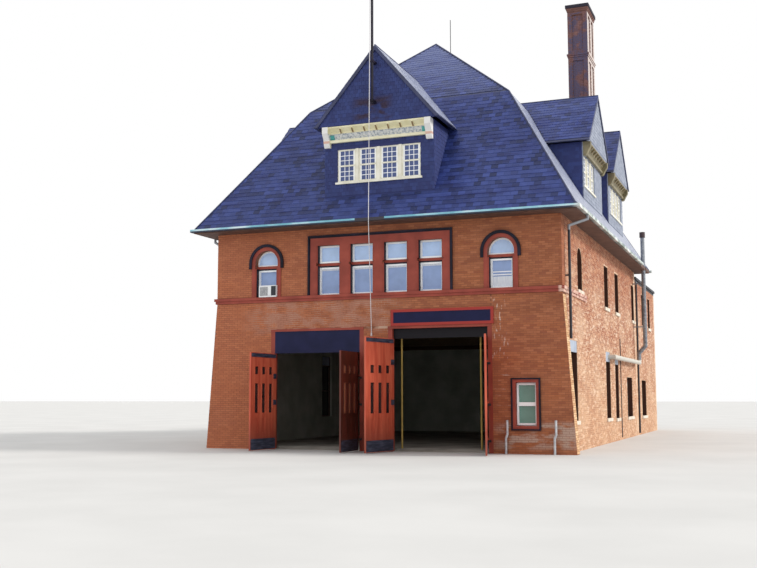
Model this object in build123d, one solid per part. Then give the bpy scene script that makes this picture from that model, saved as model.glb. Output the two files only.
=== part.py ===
from build123d import *
import os

os.makedirs("parts", exist_ok=True)

# Plan: x runs along the front, y from the front wall face into the depth, z up
WIDTH = 13000
MAIN_DEPTH = 18000
WING_DEPTH = 8000
FRONT_WALL = 500
SIDE_WALL = 400
REAR_WALL = 400

# Vehicle bays, by the clear opening's left and right edge from the middle of the front
LEFT_BAY = (-4065, -725)
RIGHT_BAY = (508, 3938)
BAY_HEAD = 4245
JAMB_WIDTH = 160
JAMB_DEPTH = 200
LINTEL_HEIGHT = 89
LINTEL_PROJECTION = 20
THRESHOLD_SET = 100
THRESHOLD_EDGE = 20
LEFT_TRANSOM = 790
RIGHT_HEADER = 345
PANEL_THICKNESS = 50
POST_INSETS = (240, 330)
POST_SET = 120
POST_RADIUS = 30

# Heights, each storey and each part of the front counted up from the one below
SLAB = 100
SPANDREL = 992
COURSE_HEIGHT = 198
COURSE_RETURN = 3700
COURSE_STEPS = [50, 90]
FLOOR_BELOW_COURSE = 576
FLOOR_THICKNESS = 250
PANEL_WINDOW_HEIGHT = 1800
PANEL_FRIEZE = 367
WALL_FRIEZE = 259
PLATE = 150
WING_CEILING = 2750
WING_ROOF = 130
COPING_HEIGHT = 120
COPING_PROJECTION = 60

# Battered ends of the front wall
BATTER = 370

# Door leaves, hung on pins in front of the wall face
LEAF_THICKNESS = 60
LEAF_FACE = -10
LEAF_SIDE_GAP = 8
LEAF_CENTRE_GAP = 12
LEAF_TOP_GAP = 10
LEAF_FOOT = 30
LEAF_COLUMNS = [0.225, 0.5, 0.775]
SQUARE_LIGHT = (215, 270)
SQUARE_FOOT = 2680
SLOT_LIGHT = (215, 1030)
SLOT_FOOT = 1330
LOWER_PANEL = (230, 500)
LOWER_PANEL_FOOT = 640
LOWER_PANEL_SINK = 15
PIN_OFFSET = 40
PIN_RADIUS = 12
PIN_FIT = 0.3
PIN_PROUD = 10
BOSS_WALL = 5
EYE_RADIUS = 24
EYE_SEAT = 0.5
HINGE_PLATE = 90
HINGE_PLATE_HEIGHT = 80
HINGE_PLATE_THICKNESS = 8
HINGE_BRACKET = 30
BRACKET_WIDTH = 45
BRACKET_CLEAR = 5
STRAP_LENGTH = 240
STRAP_HEIGHT = 70
STRAP_THICKNESS = 10
TOP_HINGE = 820
MIDDLE_HINGE = 1690
FOOT_HINGE = 480
OPEN_ANGLES = {"left_bay_left_door": 95, "left_bay_right_door": 92,
               "right_bay_left_door": 103, "right_bay_right_door": 105}

# Sign board, by its left and right end from the middle of the front
SIGN_ENDS = (470, 4160)
SIGN_HEIGHT = 571
SIGN_THICKNESS = 60
SIGN_BORDER = 100
SIGN_SINK = 15

# Openings of the upper front wall
PANEL_WINDOW = 965
PANEL_MULLION = 322
PANEL_LIGHTS = 4
PANEL_MARGIN = 327
PANEL_PROJECTION = 40
MOULDING = 95
MOULDING_PROJECTION = 80
MOULDING_STEP = 35
ARCH_FROM_CORNER = 2065
ARCH_WIDTH = 930
ARCH_SPRING_HEIGHT = 1266
ARCH_RING = 130
HOOD = 105
HOOD_LEG = 200
TRANSOM_SILL = 1066
TRANSOM_HEIGHT = 96
TRANSOM_SET = 120
CONDITIONER = (715, 500, 430)
CONDITIONER_SHIFT = 102
CONDITIONER_OUT = 120

# Window in the right pier
PIER_WINDOW_FROM_CORNER = 1280
PIER_WINDOW = 690
PIER_WINDOW_HEIGHT = 1430
PIER_SILL = 919
PIER_FRAME = 100
PIER_TRIM = 50

# Side and rear windows: place along the wall, width, sill above the floor, height.
# The main side is measured from the front, or from its rear corner where the place is negative.
SIDE_GROUND = [(1675, 1350, 1050, 2350), (9135, 1090, 1000, 2290), (11485, 930, 950, 2290)]
SIDE_WIDE = [(-2650, 1700, 950, 1800)]
SIDE_UPPER = [(9110, 1000, 750, 1710), (11970, 1000, 750, 1710), (-900, 900, 750, 1710)]
SIDE_ARCH_CENTRE = 3200
SIDE_ARCH_WIDTH = 900
SIDE_ARCH_HEIGHT = 1086
WING_GROUND = [(2550, 1700, 900, 1780)]
WING_UPPER = [(2900, 900, 750, 1600), (5475, 900, 750, 1600)]
REAR_PITCH = 3900
REAR_COUNT = 3
REAR_GROUND = (1700, 900, 1780)
REAR_UPPER = (900, 750, 1600)
INFILL_HEIGHT = 400
SILL_HEIGHT = 130
SILL_PROJECTION = 60
SILL_EXTRA = 100

# Sashes
SASH_SET = 200
SASH_THICKNESS = 60
STILE = 55
GLASS = 8

# Roof
EAVE = 650
BREAK_INSET_X = 3070
BREAK_INSET_Y = 3570
LOWER_RISE = 5090
UPPER_RISE = 3560
RIDGE_INSET_Y = 7380
ROOF_THICKNESS = 180
GUTTER_WIDTH = 120
GUTTER_HEIGHT = 110
GUTTER_WALL = 12
GUTTER_STOP = 2500
GUTTER_JOINT = 2

# Dormers: heights counted up from where the main roof meets the wall plane
FRONT_DORMER = {"half": 2090, "gable_margin": 310, "overhang": 350, "sill_rise": 563, "window_height": 1210,
                "over_window": 800, "gable_rise": 2830, "light": 717, "cornice": 550, "frieze": 220,
                "console_drop": 170}
SIDE_DORMER = {"half": 2070, "gable_margin": 330, "overhang": 300, "sill_rise": 572, "window_height": 1150,
               "over_window": 500, "gable_rise": 2300, "light": 700, "cornice": 450, "frieze": 160,
               "console_drop": 60}
FRONT_LIGHTS = 4
# Each side dormer: its centre from the front and its windows' offset from that
SIDE_DORMERS = [(6500, -840), (12400, -50)]
SIDE_DORMER_LIGHTS = [3, 4]
DORMER_WALL = 140
DORMER_ROOF = 110
DORMER_BITE = 600
GABLE_SET = 50
GABLE_THICKNESS = 80
DORMER_SASH_SET = 30
MULLION = 110
MULLION_PROUD = 10
DORMER_SILL = 70
DORMER_SILL_HORN = 60
DORMER_SILL_PROUD = 60

# Cornice of a dormer: moulding at its foot, coved frieze, coffered band and fascia
CORNICE_MOULDING = 100
MOULDING_PROUD = 110
FRIEZE_SET = 40
FRIEZE_REACH = 0.5
COVE_RADIUS = 238
FASCIA = 50
COFFER_COUNT = 8
COFFER_SINK = 45
RIB_WIDTH = 60
CONSOLE_WIDTH = 230
CONSOLE_SET = 20
CONSOLE_PROUD = 40
CONSOLE_FOOT = 190
CONSOLE_CURVE = 380

# Chimney, by its right face from the corner of the wall
CHIMNEY_SET = 440
CHIMNEY_WIDTH = 820
CHIMNEY_Y = 8660
CHIMNEY_DEPTH = 1660
CHIMNEY_RISE = 1650
CHIMNEY_CAP = 80
CAP_HEIGHT = 130
CORBEL_STEPS = [25, 50]
CORBEL_HEIGHT = 75
CHIMNEY_TIER = 2130
TIER_MARGIN = 150
LOWER_TIER = 3400
FLUE_PANEL = 460
FLUE_PANEL_SHIFT = 350
PANEL_SINK = 45

# Pole and rope, rod, pipes
POLE_ABOVE_CORNICE = 610
POLE_LENGTH = 6190
POLE_RADIUS = 45
POLE_GAP = 250
POLE_CLAMPS = [60, 1500]
CLAMP_WIDTH = 120
CLAMP_HEIGHT = 80
FINIAL = 75
FINIAL_TAPER = 35
ROPE_RADIUS = 12
ROPE_BEND = -70
ROPE_CLEAR = 5
CLEAT = (-255, 4120)
CLEAT_SIZE = (30, 80, 120)
ROD_Y = 8790
ROD_HEIGHT = 1800
ROD_RADIUS = 15
PIPE_SIDES = 12
PIPE_RADIUS = 45
PIPE_STAND = 110
SPOUT_Y = 980
SPOUT_WALL_Y = 540
SPOUT_FOOT = 3800
SPOUT_NECK = 140
SPOUT_ELBOW = 250
SPOUT_STRAP = 30
WING_SPOUT_Y = 250
CONDUIT_RADIUS = 20
CONDUIT_Y = 12500
CONDUIT_TOP = 4400
FLUE_RADIUS = 95
FLUE_SHIFT = 165
FLUE_BEFORE_REAR = 700
FLUE_STAND = 220
FLUE_RISER = 530
FLUE_ABOVE_EAVE = 1600
FLUE_OFFSET = (450, 800)
FLUE_HOOD = (130, 260)
FLUE_BRACKETS = [1700, 3800]
FLUE_STRAP = 50
NOTCH_CLEAR = 20
NOTCH_RISE = 1000
STAND_FROM_BAY = 462
STAND_FROM_CORNER = 320
STAND_OFF = 150
STAND_TOP = 1110
STAND_RADIUS = 38
STAND_BEND = (520, 640, 50)
STAND_CLIP = (860, 30)

HALF = WIDTH / 2
DEPTH = MAIN_DEPTH + WING_DEPTH
COURSE_BOTTOM = BAY_HEAD + LINTEL_HEIGHT + SPANDREL
COURSE_TOP = COURSE_BOTTOM + COURSE_HEIGHT
UPPER_FLOOR = COURSE_BOTTOM - FLOOR_BELOW_COURSE
PANEL_HEAD = COURSE_TOP + PANEL_WINDOW_HEIGHT
PANEL_TOP = PANEL_HEAD + PANEL_FRIEZE
WALL_TOP = PANEL_TOP + WALL_FRIEZE
EAVE_Z = WALL_TOP + PLATE
BREAK_Z = EAVE_Z + LOWER_RISE
RIDGE_Z = BREAK_Z + UPPER_RISE
WING_TOP = UPPER_FLOOR + WING_CEILING
TRANSOM_BOTTOM = COURSE_TOP + TRANSOM_SILL
TRANSOM_TOP = TRANSOM_BOTTOM + TRANSOM_HEIGHT
ARCH_SPRING = COURSE_TOP + ARCH_SPRING_HEIGHT
ARCH_CENTRE = HALF - ARCH_FROM_CORNER
PANEL_PITCH = PANEL_WINDOW + PANEL_MULLION
PANEL_CENTRES = [(i - (PANEL_LIGHTS - 1) / 2) * PANEL_PITCH for i in range(PANEL_LIGHTS)]
PANEL_HALF = PANEL_CENTRES[-1] + PANEL_WINDOW / 2 + PANEL_MARGIN
PIER_WINDOW_CENTRE = HALF - PIER_WINDOW_FROM_CORNER
CHIMNEY_TOP = RIDGE_Z + CHIMNEY_RISE
INNER = HALF - SIDE_WALL
ROOF_HALF = HALF + EAVE
ROOF_BACK = MAIN_DEPTH + EAVE
RIGHT_SIDE = Pos(HALF, 0, 0) * Rot(0, 0, 90)
REAR_SIDE = Pos(0, DEPTH, 0) * Rot(0, 0, 180)


def save(name, *shapes):
    """Write one sub-part, moved so that the footprint's middle is the origin."""
    solids = [solid for shape in shapes for solid in shape.solids()]
    whole = solids[0] if len(solids) == 1 else Compound(solids)
    export_step(Pos(0, -DEPTH / 2, 0) * whole, f"parts/{name}.step")


def block(x0, x1, y0, y1, z0, z1):
    """Box between two corners."""
    return Pos((x0 + x1) / 2, (y0 + y1) / 2, (z0 + z1) / 2) * Box(x1 - x0, y1 - y0, z1 - z0)


def rect(u0, u1, z0, z1):
    """Rectangle drawn in elevation."""
    return Pos((u0 + u1) / 2, (z0 + z1) / 2) * Rectangle(u1 - u0, z1 - z0)


def opening(centre, width, sill, height):
    """Square-headed opening drawn in elevation."""
    return rect(centre - width / 2, centre + width / 2, sill, sill + height)


def arch(centre, width, sill, spring):
    """Round-headed opening drawn in elevation."""
    half = width / 2
    return rect(centre - half, centre + half, sill, spring) + Pos(centre, spring) * Circle(half)


def slab(face, y, thickness):
    """Give a face drawn in elevation its thickness, from depth y inwards."""
    return Pos(0, y + thickness, 0) * (Plane.XZ * extrude(face, thickness))


def outline(*points):
    return make_face(Polyline(*points, close=True))


def across(profile, x0, x1):
    """Run a profile drawn in y and z from x0 to x1."""
    return Pos(x0, 0, 0) * (Plane.YZ * extrude(profile, x1 - x0))


def rod(radius, height):
    """Upright bar whose flats lie at the radius, one of them towards each axis."""
    return extrude(RegularPolygon(radius, PIPE_SIDES, major_radius=False, rotation=180 / PIPE_SIDES), height)


def pipe(points, radius, across_dir=(1, 0, 0)):
    """Pipe with mitred elbows along straight runs, its section squared to the given direction."""
    path = Polyline(*points)
    start = Plane(origin=path @ 0, x_dir=across_dir, z_dir=path % 0)
    section = RegularPolygon(radius, PIPE_SIDES, major_radius=False, rotation=180 / PIPE_SIDES)
    return sweep(start * section, path, transition=Transition.RIGHT)


def wall(u0, u1, z0, z1, thickness, holes):
    """Wall in elevation with its openings."""
    face = rect(u0, u1, z0, z1)
    for hole in holes:
        face -= hole
    return slab(face, 0, thickness)


def sash(face, rails, depth=SASH_SET):
    """Frame with rails across, and the panes in its lights."""
    lights = offset(face, -STILE)
    box = face.bounding_box()
    for rail in rails:
        lights -= rect(box.min.X, box.max.X, rail - STILE / 2, rail + STILE / 2)
    frame = slab(face - lights, depth, SASH_THICKNESS)
    panes = slab(lights, depth + (SASH_THICKNESS - GLASS) / 2, GLASS)
    return frame, panes


def both_sides(shape):
    """The right side's piece with its mirror image on the left."""
    return [*shape.solids(), *mirror(shape, about=Plane.YZ).solids()]


def mirrored_pairs(shapes):
    return [solid for shape in shapes for solid in both_sides(shape)]


def slope_foot(break_inset):
    """Height at which the main roof's lower slope meets the wall plane."""
    return EAVE_Z + EAVE * LOWER_RISE / break_inset


def slope_reach(z, break_inset, ridge_inset):
    """How far in from the wall plane the main roof's surface stands at a height."""
    if z < BREAK_Z:
        return (z - EAVE_Z) / LOWER_RISE * break_inset - EAVE
    return break_inset + (z - BREAK_Z) / UPPER_RISE * (ridge_inset - break_inset) - EAVE


def roof_solid(inset):
    """Double-pitched hip roof as a solid, shrunk by the inset at right angles to its slopes."""
    reach = MAIN_DEPTH / 2 + EAVE
    drop_x = inset * BREAK_INSET_X / LOWER_RISE
    drop_y = inset * BREAK_INSET_Y / LOWER_RISE
    base = EAVE_Z - inset
    section_x = outline((ROOF_HALF + drop_x, base), (ROOF_HALF - BREAK_INSET_X, BREAK_Z), (0, RIDGE_Z),
                        (BREAK_INSET_X - ROOF_HALF, BREAK_Z), (-ROOF_HALF - drop_x, base))
    section_y = outline((reach + drop_y, base), (reach - BREAK_INSET_Y, BREAK_Z),
                        (reach - RIDGE_INSET_Y, RIDGE_Z), (RIDGE_INSET_Y - reach, RIDGE_Z),
                        (BREAK_INSET_Y - reach, BREAK_Z), (-reach - drop_y, base))
    if inset:
        section_x = offset(section_x, -inset, kind=Kind.INTERSECTION)
        section_y = offset(section_y, -inset, kind=Kind.INTERSECTION)
    across_solid = Plane.XZ * extrude(section_x, 2 * reach, both=True)
    along_solid = Plane.YZ * extrude(section_y, 2 * ROOF_HALF, both=True)
    return Pos(0, MAIN_DEPTH / 2, 0) * (across_solid & along_solid)


ROOF = roof_solid(0)
SHELL = ROOF - roof_solid(ROOF_THICKNESS)


def bay_edges(bay):
    """Masonry opening of a bay."""
    return bay[0] - JAMB_WIDTH, bay[1] + JAMB_WIDTH


def piers():
    left_edge = bay_edges(LEFT_BAY)[0]
    right_edge = bay_edges(RIGHT_BAY)[1]
    right = outline((HALF, COURSE_BOTTOM), (HALF + BATTER, 0), (right_edge, 0), (right_edge, COURSE_BOTTOM))
    left = outline((-HALF, COURSE_BOTTOM), (-HALF - BATTER, 0), (left_edge, 0), (left_edge, COURSE_BOTTOM))
    save("right_pier", slab(right - pier_opening(PIER_FRAME), 0, FRONT_WALL))
    save("left_pier", slab(left, 0, FRONT_WALL))
    save("centre_pier", block(bay_edges(LEFT_BAY)[1], bay_edges(RIGHT_BAY)[0], 0, FRONT_WALL,
                              0, BAY_HEAD + LINTEL_HEIGHT))


def pier_opening(margin):
    return opening(PIER_WINDOW_CENTRE, PIER_WINDOW + 2 * margin, PIER_SILL - margin,
                   PIER_WINDOW_HEIGHT + 2 * margin)


def pier_window():
    frame = slab(pier_opening(PIER_FRAME) - pier_opening(0), -PANEL_PROJECTION, SASH_SET + PANEL_PROJECTION)
    trim = slab(pier_opening(PIER_FRAME + PIER_TRIM) - pier_opening(PIER_FRAME), -MOULDING_PROJECTION,
                MOULDING_PROJECTION)
    return frame, trim, sash(pier_opening(0), [PIER_SILL + PIER_WINDOW_HEIGHT / 2])


def panel_windows():
    return [opening(x, PANEL_WINDOW, COURSE_TOP, PANEL_WINDOW_HEIGHT) for x in PANEL_CENTRES]


def front_wall():
    save("front_spandrel_wall", block(bay_edges(LEFT_BAY)[0], bay_edges(RIGHT_BAY)[1], 0, FRONT_WALL,
                                      BAY_HEAD + LINTEL_HEIGHT, COURSE_BOTTOM))
    holes = panel_windows()
    holes += [arch(x, ARCH_WIDTH, COURSE_TOP, ARCH_SPRING) for x in (-ARCH_CENTRE, ARCH_CENTRE)]
    save("front_upper_wall", wall(-HALF, HALF, COURSE_TOP, WALL_TOP, FRONT_WALL, holes))


def string_course():
    """Stepped band across the front, returned along the sides."""
    pieces = []
    for i, out in enumerate(COURSE_STEPS):
        z0 = COURSE_BOTTOM + i * COURSE_HEIGHT / len(COURSE_STEPS)
        z1 = z0 + COURSE_HEIGHT / len(COURSE_STEPS)
        front = block(-HALF - out, HALF + out, -out, FRONT_WALL, z0, z1)
        side = block(HALF, HALF + out, FRONT_WALL, FRONT_WALL + COURSE_RETURN, z0, z1)
        pieces.append(front + both_sides(side))
    save("string_course", pieces[0] + pieces[1:])


def window_panel():
    """Flat surround of the front's middle windows, and the stepped moulding round it."""
    panel = rect(-PANEL_HALF + MOULDING, PANEL_HALF - MOULDING, COURSE_TOP, PANEL_TOP - MOULDING)
    for window in panel_windows():
        panel -= window
    outer = rect(-PANEL_HALF, PANEL_HALF, COURSE_TOP, PANEL_TOP)
    edge = PANEL_HALF - MOULDING
    bead = edge + MOULDING_STEP
    low = outer - rect(-edge, edge, COURSE_TOP, PANEL_TOP - MOULDING)
    high = outer - rect(-bead, bead, COURSE_TOP, PANEL_TOP - MOULDING + MOULDING_STEP)
    ring = slab(low, -PANEL_PROJECTION, PANEL_PROJECTION)
    ring += slab(high, -MOULDING_PROJECTION, MOULDING_PROJECTION)
    return slab(panel, -PANEL_PROJECTION, PANEL_PROJECTION), ring


def arch_surrounds():
    rings = []
    hoods = []
    for x in (-ARCH_CENTRE, ARCH_CENTRE):
        ring_width = ARCH_WIDTH + 2 * ARCH_RING
        hood_width = ring_width + 2 * HOOD
        ring = arch(x, ring_width, COURSE_TOP, ARCH_SPRING) - arch(x, ARCH_WIDTH, COURSE_TOP, ARCH_SPRING)
        hood = arch(x, hood_width, ARCH_SPRING - HOOD_LEG, ARCH_SPRING)
        hood -= rect(x - hood_width, x + hood_width, COURSE_TOP, ARCH_SPRING - HOOD_LEG)
        hood -= arch(x, ring_width, COURSE_TOP, ARCH_SPRING)
        rings.append(slab(ring, -PANEL_PROJECTION, PANEL_PROJECTION))
        hoods.append(slab(hood, -MOULDING_PROJECTION, MOULDING_PROJECTION))
    return rings, hoods


def front_trim():
    """Red surrounds and dark mouldings of the front windows, and all the front's sashes."""
    frame, trim, pier_sash = pier_window()
    panel, ring = window_panel()
    rings, hoods = arch_surrounds()
    save("front_window_surrounds", frame, panel, *rings)
    save("front_mouldings", trim, ring, *hoods)
    return front_windows(pier_sash)


def conditioner_box():
    """Window unit that stands in the left arched window's foot."""
    width, depth, height = CONDITIONER
    centre = CONDITIONER_SHIFT - ARCH_CENTRE
    return block(centre - width / 2, centre + width / 2, -CONDITIONER_OUT, depth - CONDITIONER_OUT,
                 COURSE_TOP, COURSE_TOP + height)


def front_windows(pier_sash):
    """Casements under transom bars with lights over them."""
    pairs = [pier_sash]
    bars = []
    conditioner = conditioner_box()
    for x in PANEL_CENTRES:
        pairs.append(sash(opening(x, PANEL_WINDOW, COURSE_TOP, TRANSOM_SILL), []))
        pairs.append(sash(opening(x, PANEL_WINDOW, TRANSOM_TOP, PANEL_HEAD - TRANSOM_TOP), []))
        bars.append(slab(opening(x, PANEL_WINDOW, TRANSOM_BOTTOM, TRANSOM_HEIGHT), TRANSOM_SET, SASH_SET))
    for x in (-ARCH_CENTRE, ARCH_CENTRE):
        head = arch(x, ARCH_WIDTH, TRANSOM_TOP, ARCH_SPRING)
        head &= opening(x, ARCH_WIDTH, TRANSOM_TOP, ARCH_SPRING + ARCH_WIDTH - TRANSOM_TOP)
        for face in (opening(x, ARCH_WIDTH, COURSE_TOP, TRANSOM_SILL), head):
            frame, pane = sash(face, [])
            pairs.append((frame - conditioner, pane - conditioner))
        bars.append(slab(opening(x, ARCH_WIDTH, TRANSOM_BOTTOM, TRANSOM_HEIGHT), TRANSOM_SET, SASH_SET))
    save("front_sashes", *[frame for frame, pane in pairs])
    save("transom_bars", *bars)
    save("window_air_conditioner", conditioner)
    return [pane for frame, pane in pairs]


def side_windows_list():
    """Square windows of the main side: each opening's centre, width, sill and height."""
    windows = []
    for storey, floor in ((SIDE_GROUND + SIDE_WIDE, 0), (SIDE_UPPER, UPPER_FLOOR)):
        for place, width, sill, height in storey:
            centre = place if place > 0 else MAIN_DEPTH + place
            windows.append((centre, width, floor + sill, height))
    return windows


def wing_windows_list():
    return [(MAIN_DEPTH + place, width, floor + sill, height)
            for storey, floor in ((WING_GROUND, 0), (WING_UPPER, UPPER_FLOOR))
            for place, width, sill, height in storey]


def rear_windows_list():
    centres = [(i - (REAR_COUNT - 1) / 2) * REAR_PITCH for i in range(REAR_COUNT)]
    return [(centre, width, floor + sill, height)
            for (width, sill, height), floor in ((REAR_GROUND, 0), (REAR_UPPER, UPPER_FLOOR))
            for centre in centres]


def infills():
    """Panels that close the heads of the ground floor's tall windows."""
    return [(place, width, sill + height, INFILL_HEIGHT) for place, width, sill, height in SIDE_GROUND]


def side_arch():
    return arch(SIDE_ARCH_CENTRE, SIDE_ARCH_WIDTH, COURSE_TOP + SILL_HEIGHT,
                COURSE_TOP + SILL_HEIGHT + SIDE_ARCH_HEIGHT)


def side_walls():
    holes = [opening(*window) for window in side_windows_list() + infills()] + [side_arch()]
    side = RIGHT_SIDE * wall(FRONT_WALL, MAIN_DEPTH - REAR_WALL, 0, WALL_TOP, SIDE_WALL, holes)
    save("main_side_walls", *both_sides(side))
    wing_holes = [opening(*window) for window in wing_windows_list()]
    wing = RIGHT_SIDE * wall(MAIN_DEPTH, DEPTH - REAR_WALL, 0, WING_TOP, SIDE_WALL, wing_holes)
    save("wing_side_walls", *both_sides(wing))
    save("main_rear_wall", block(-HALF, HALF, MAIN_DEPTH - REAR_WALL, MAIN_DEPTH, 0, WALL_TOP))
    rear_holes = [opening(*window) for window in rear_windows_list()]
    save("wing_rear_wall", REAR_SIDE * wall(-HALF, HALF, 0, WING_TOP, REAR_WALL, rear_holes))


def square_sash(window):
    """Double-hung sash for an opening given by its centre, width, sill and height."""
    return sash(opening(*window), [window[2] + window[3] / 2])


def side_windows():
    sides = side_windows_list() + wing_windows_list()
    sashes = [square_sash(window) for window in sides]
    sashes.append(sash(side_arch(), [COURSE_TOP + SILL_HEIGHT + SIDE_ARCH_HEIGHT / 2]))
    sills = [sill_stone(centre, width, sill) for centre, width, sill, height in sides]
    sills.append(sill_stone(SIDE_ARCH_CENTRE, SIDE_ARCH_WIDTH, COURSE_TOP + SILL_HEIGHT))
    rear = [square_sash(window) for window in rear_windows_list()]
    rear_sills = [sill_stone(centre, width, sill) for centre, width, sill, height in rear_windows_list()]
    panels = [RIGHT_SIDE * slab(opening(*panel), SASH_SET, SASH_THICKNESS) for panel in infills()]
    save("infill_panels", *mirrored_pairs(panels))
    save("side_and_rear_sashes", *mirrored_pairs([RIGHT_SIDE * frame for frame, pane in sashes]),
         *[REAR_SIDE * frame for frame, pane in rear])
    save("window_sills", *mirrored_pairs([RIGHT_SIDE * sill for sill in sills]),
         *[REAR_SIDE * sill for sill in rear_sills])
    panes = mirrored_pairs([RIGHT_SIDE * pane for frame, pane in sashes])
    return panes + [REAR_SIDE * pane for frame, pane in rear]


def sill_stone(centre, width, sill):
    """Sill on the wall face under a window."""
    stone = opening(centre, width + 2 * SILL_EXTRA, sill - SILL_HEIGHT, SILL_HEIGHT)
    return slab(stone, -SILL_PROJECTION, SILL_PROJECTION)


def floors():
    main = block(-INNER, INNER, FRONT_WALL, MAIN_DEPTH - REAR_WALL, 0, SLAB)
    nose = outline((THRESHOLD_SET, 0), (FRONT_WALL, 0), (FRONT_WALL, SLAB), (THRESHOLD_SET, THRESHOLD_EDGE))
    for bay in (LEFT_BAY, RIGHT_BAY):
        main += across(nose, *bay)
    save("ground_slab", main, block(-INNER, INNER, MAIN_DEPTH, DEPTH - REAR_WALL, 0, SLAB))
    upper = [block(-INNER, INNER, y0, y1, UPPER_FLOOR - FLOOR_THICKNESS, UPPER_FLOOR)
             for y0, y1 in ((FRONT_WALL, MAIN_DEPTH - REAR_WALL), (MAIN_DEPTH, DEPTH - REAR_WALL))]
    save("upper_floor", *upper)
    save("attic_floor", block(-HALF, HALF, 0, MAIN_DEPTH, WALL_TOP, EAVE_Z))
    coping_z = WING_TOP + WING_ROOF
    save("wing_roof", block(-HALF, HALF, MAIN_DEPTH, DEPTH, WING_TOP, coping_z))
    outer = block(-HALF - COPING_PROJECTION, HALF + COPING_PROJECTION, MAIN_DEPTH, DEPTH + COPING_PROJECTION,
                  coping_z, coping_z + COPING_HEIGHT)
    hole = block(-INNER, INNER, MAIN_DEPTH, DEPTH - REAR_WALL, coping_z, coping_z + COPING_HEIGHT)
    save("wing_coping", outer - hole)


def bays():
    """Painted jambs and head beams, the closed panels over the leaves, sign board and guard posts."""
    frames = []
    for bay in (LEFT_BAY, RIGHT_BAY):
        left, right = bay_edges(bay)
        frame = block(left, right, -LINTEL_PROJECTION, FRONT_WALL, BAY_HEAD, BAY_HEAD + LINTEL_HEIGHT)
        frame += block(left, left + JAMB_WIDTH, 0, JAMB_DEPTH, 0, BAY_HEAD)
        frame += block(right - JAMB_WIDTH, right, 0, JAMB_DEPTH, 0, BAY_HEAD)
        frames.append(frame)
    save("bay_frames", *frames)
    left = block(*LEFT_BAY, 0, PANEL_THICKNESS, BAY_HEAD - LEFT_TRANSOM, BAY_HEAD)
    right = block(*RIGHT_BAY, JAMB_DEPTH - PANEL_THICKNESS, JAMB_DEPTH, BAY_HEAD - RIGHT_HEADER, BAY_HEAD)
    save("bay_header_panels", left, right)
    base = BAY_HEAD + LINTEL_HEIGHT
    board = rect(*SIGN_ENDS, base, base + SIGN_HEIGHT)
    field = offset(board, -SIGN_BORDER, kind=Kind.INTERSECTION)
    save("sign_board", slab(board, -SIGN_THICKNESS, SIGN_THICKNESS) - slab(field, -SIGN_THICKNESS, SIGN_SINK))
    post = Pos(0, JAMB_DEPTH + POST_SET, SLAB) * rod(POST_RADIUS, BAY_HEAD - SLAB)
    save("guard_posts", Pos(RIGHT_BAY[0] + POST_INSETS[0], 0, 0) * post,
         Pos(RIGHT_BAY[1] - POST_INSETS[1], 0, 0) * post)


def leaf_cuts(width):
    """Three square lights over three tall slots, and the sunk panels under them."""
    lights = []
    panels = []
    for share in LEAF_COLUMNS:
        x = LEAF_SIDE_GAP + share * width
        lights.append(opening(x, SQUARE_LIGHT[0], SQUARE_FOOT, SQUARE_LIGHT[1]))
        lights.append(opening(x, SLOT_LIGHT[0], SLOT_FOOT, SLOT_LIGHT[1]))
        panels.append(opening(x, LOWER_PANEL[0], LOWER_PANEL_FOOT, LOWER_PANEL[1]))
    return lights, panels


def hinge_heights(height):
    return height - TOP_HINGE, MIDDLE_HINGE, FOOT_HINGE


def door_leaf(bay, height):
    """Closed leaf of a bay's pair, from the pin at the origin towards +x, its front face towards -y."""
    width = (bay[1] - bay[0]) / 2 - LEAF_SIDE_GAP - LEAF_CENTRE_GAP / 2
    front = PIN_OFFSET + LEAF_FACE
    face = rect(LEAF_SIDE_GAP, LEAF_SIDE_GAP + width, LEAF_FOOT, height)
    lights, panels = leaf_cuts(width)
    for light in lights:
        face -= light
    leaf = slab(face, front, LEAF_THICKNESS)
    for panel in panels:
        leaf -= slab(panel, front, LOWER_PANEL_SINK)
        leaf -= slab(panel, front + LEAF_THICKNESS - LOWER_PANEL_SINK, LOWER_PANEL_SINK)
    for z in hinge_heights(height):
        foot = z - STRAP_HEIGHT / 2
        leaf += block(0, STRAP_LENGTH, front - STRAP_THICKNESS, front, foot, foot + STRAP_HEIGHT)
        leaf += Pos(0, 0, foot) * rod(EYE_RADIUS, STRAP_HEIGHT)
        leaf -= Pos(0, 0, foot) * rod(PIN_RADIUS + PIN_FIT, STRAP_HEIGHT)
    return leaf


def pintles(height):
    """Brackets on the jamb whose pins hold a leaf, their axis at the origin.

    The foot pin is round; the others are faceted, with their corners at the pin's radius.
    """
    pieces = []
    for z in hinge_heights(height):
        seat = z - STRAP_HEIGHT / 2 - EYE_SEAT
        base = seat - HINGE_BRACKET
        plate = block(-HINGE_PLATE, -BRACKET_CLEAR, PIN_OFFSET - HINGE_PLATE_THICKNESS, PIN_OFFSET,
                      seat - HINGE_PLATE_HEIGHT, seat)
        arm = block(-BRACKET_WIDTH, -BRACKET_CLEAR, -PIN_RADIUS, PIN_OFFSET, base, seat)
        arm += block(-BRACKET_WIDTH, 0, -PIN_RADIUS, PIN_RADIUS, base, seat)
        boss = Pos(0, 0, base) * rod(PIN_RADIUS + BOSS_WALL, HINGE_BRACKET)
        tall = STRAP_HEIGHT + PIN_PROUD
        if z == FOOT_HINGE:
            pin = Pos(0, 0, tall / 2) * Cylinder(PIN_RADIUS, tall)
        else:
            pin = extrude(RegularPolygon(PIN_RADIUS, PIPE_SIDES), tall)
        pieces.append(plate + arm + boss + Pos(0, 0, seat) * pin)
    return pieces


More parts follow.
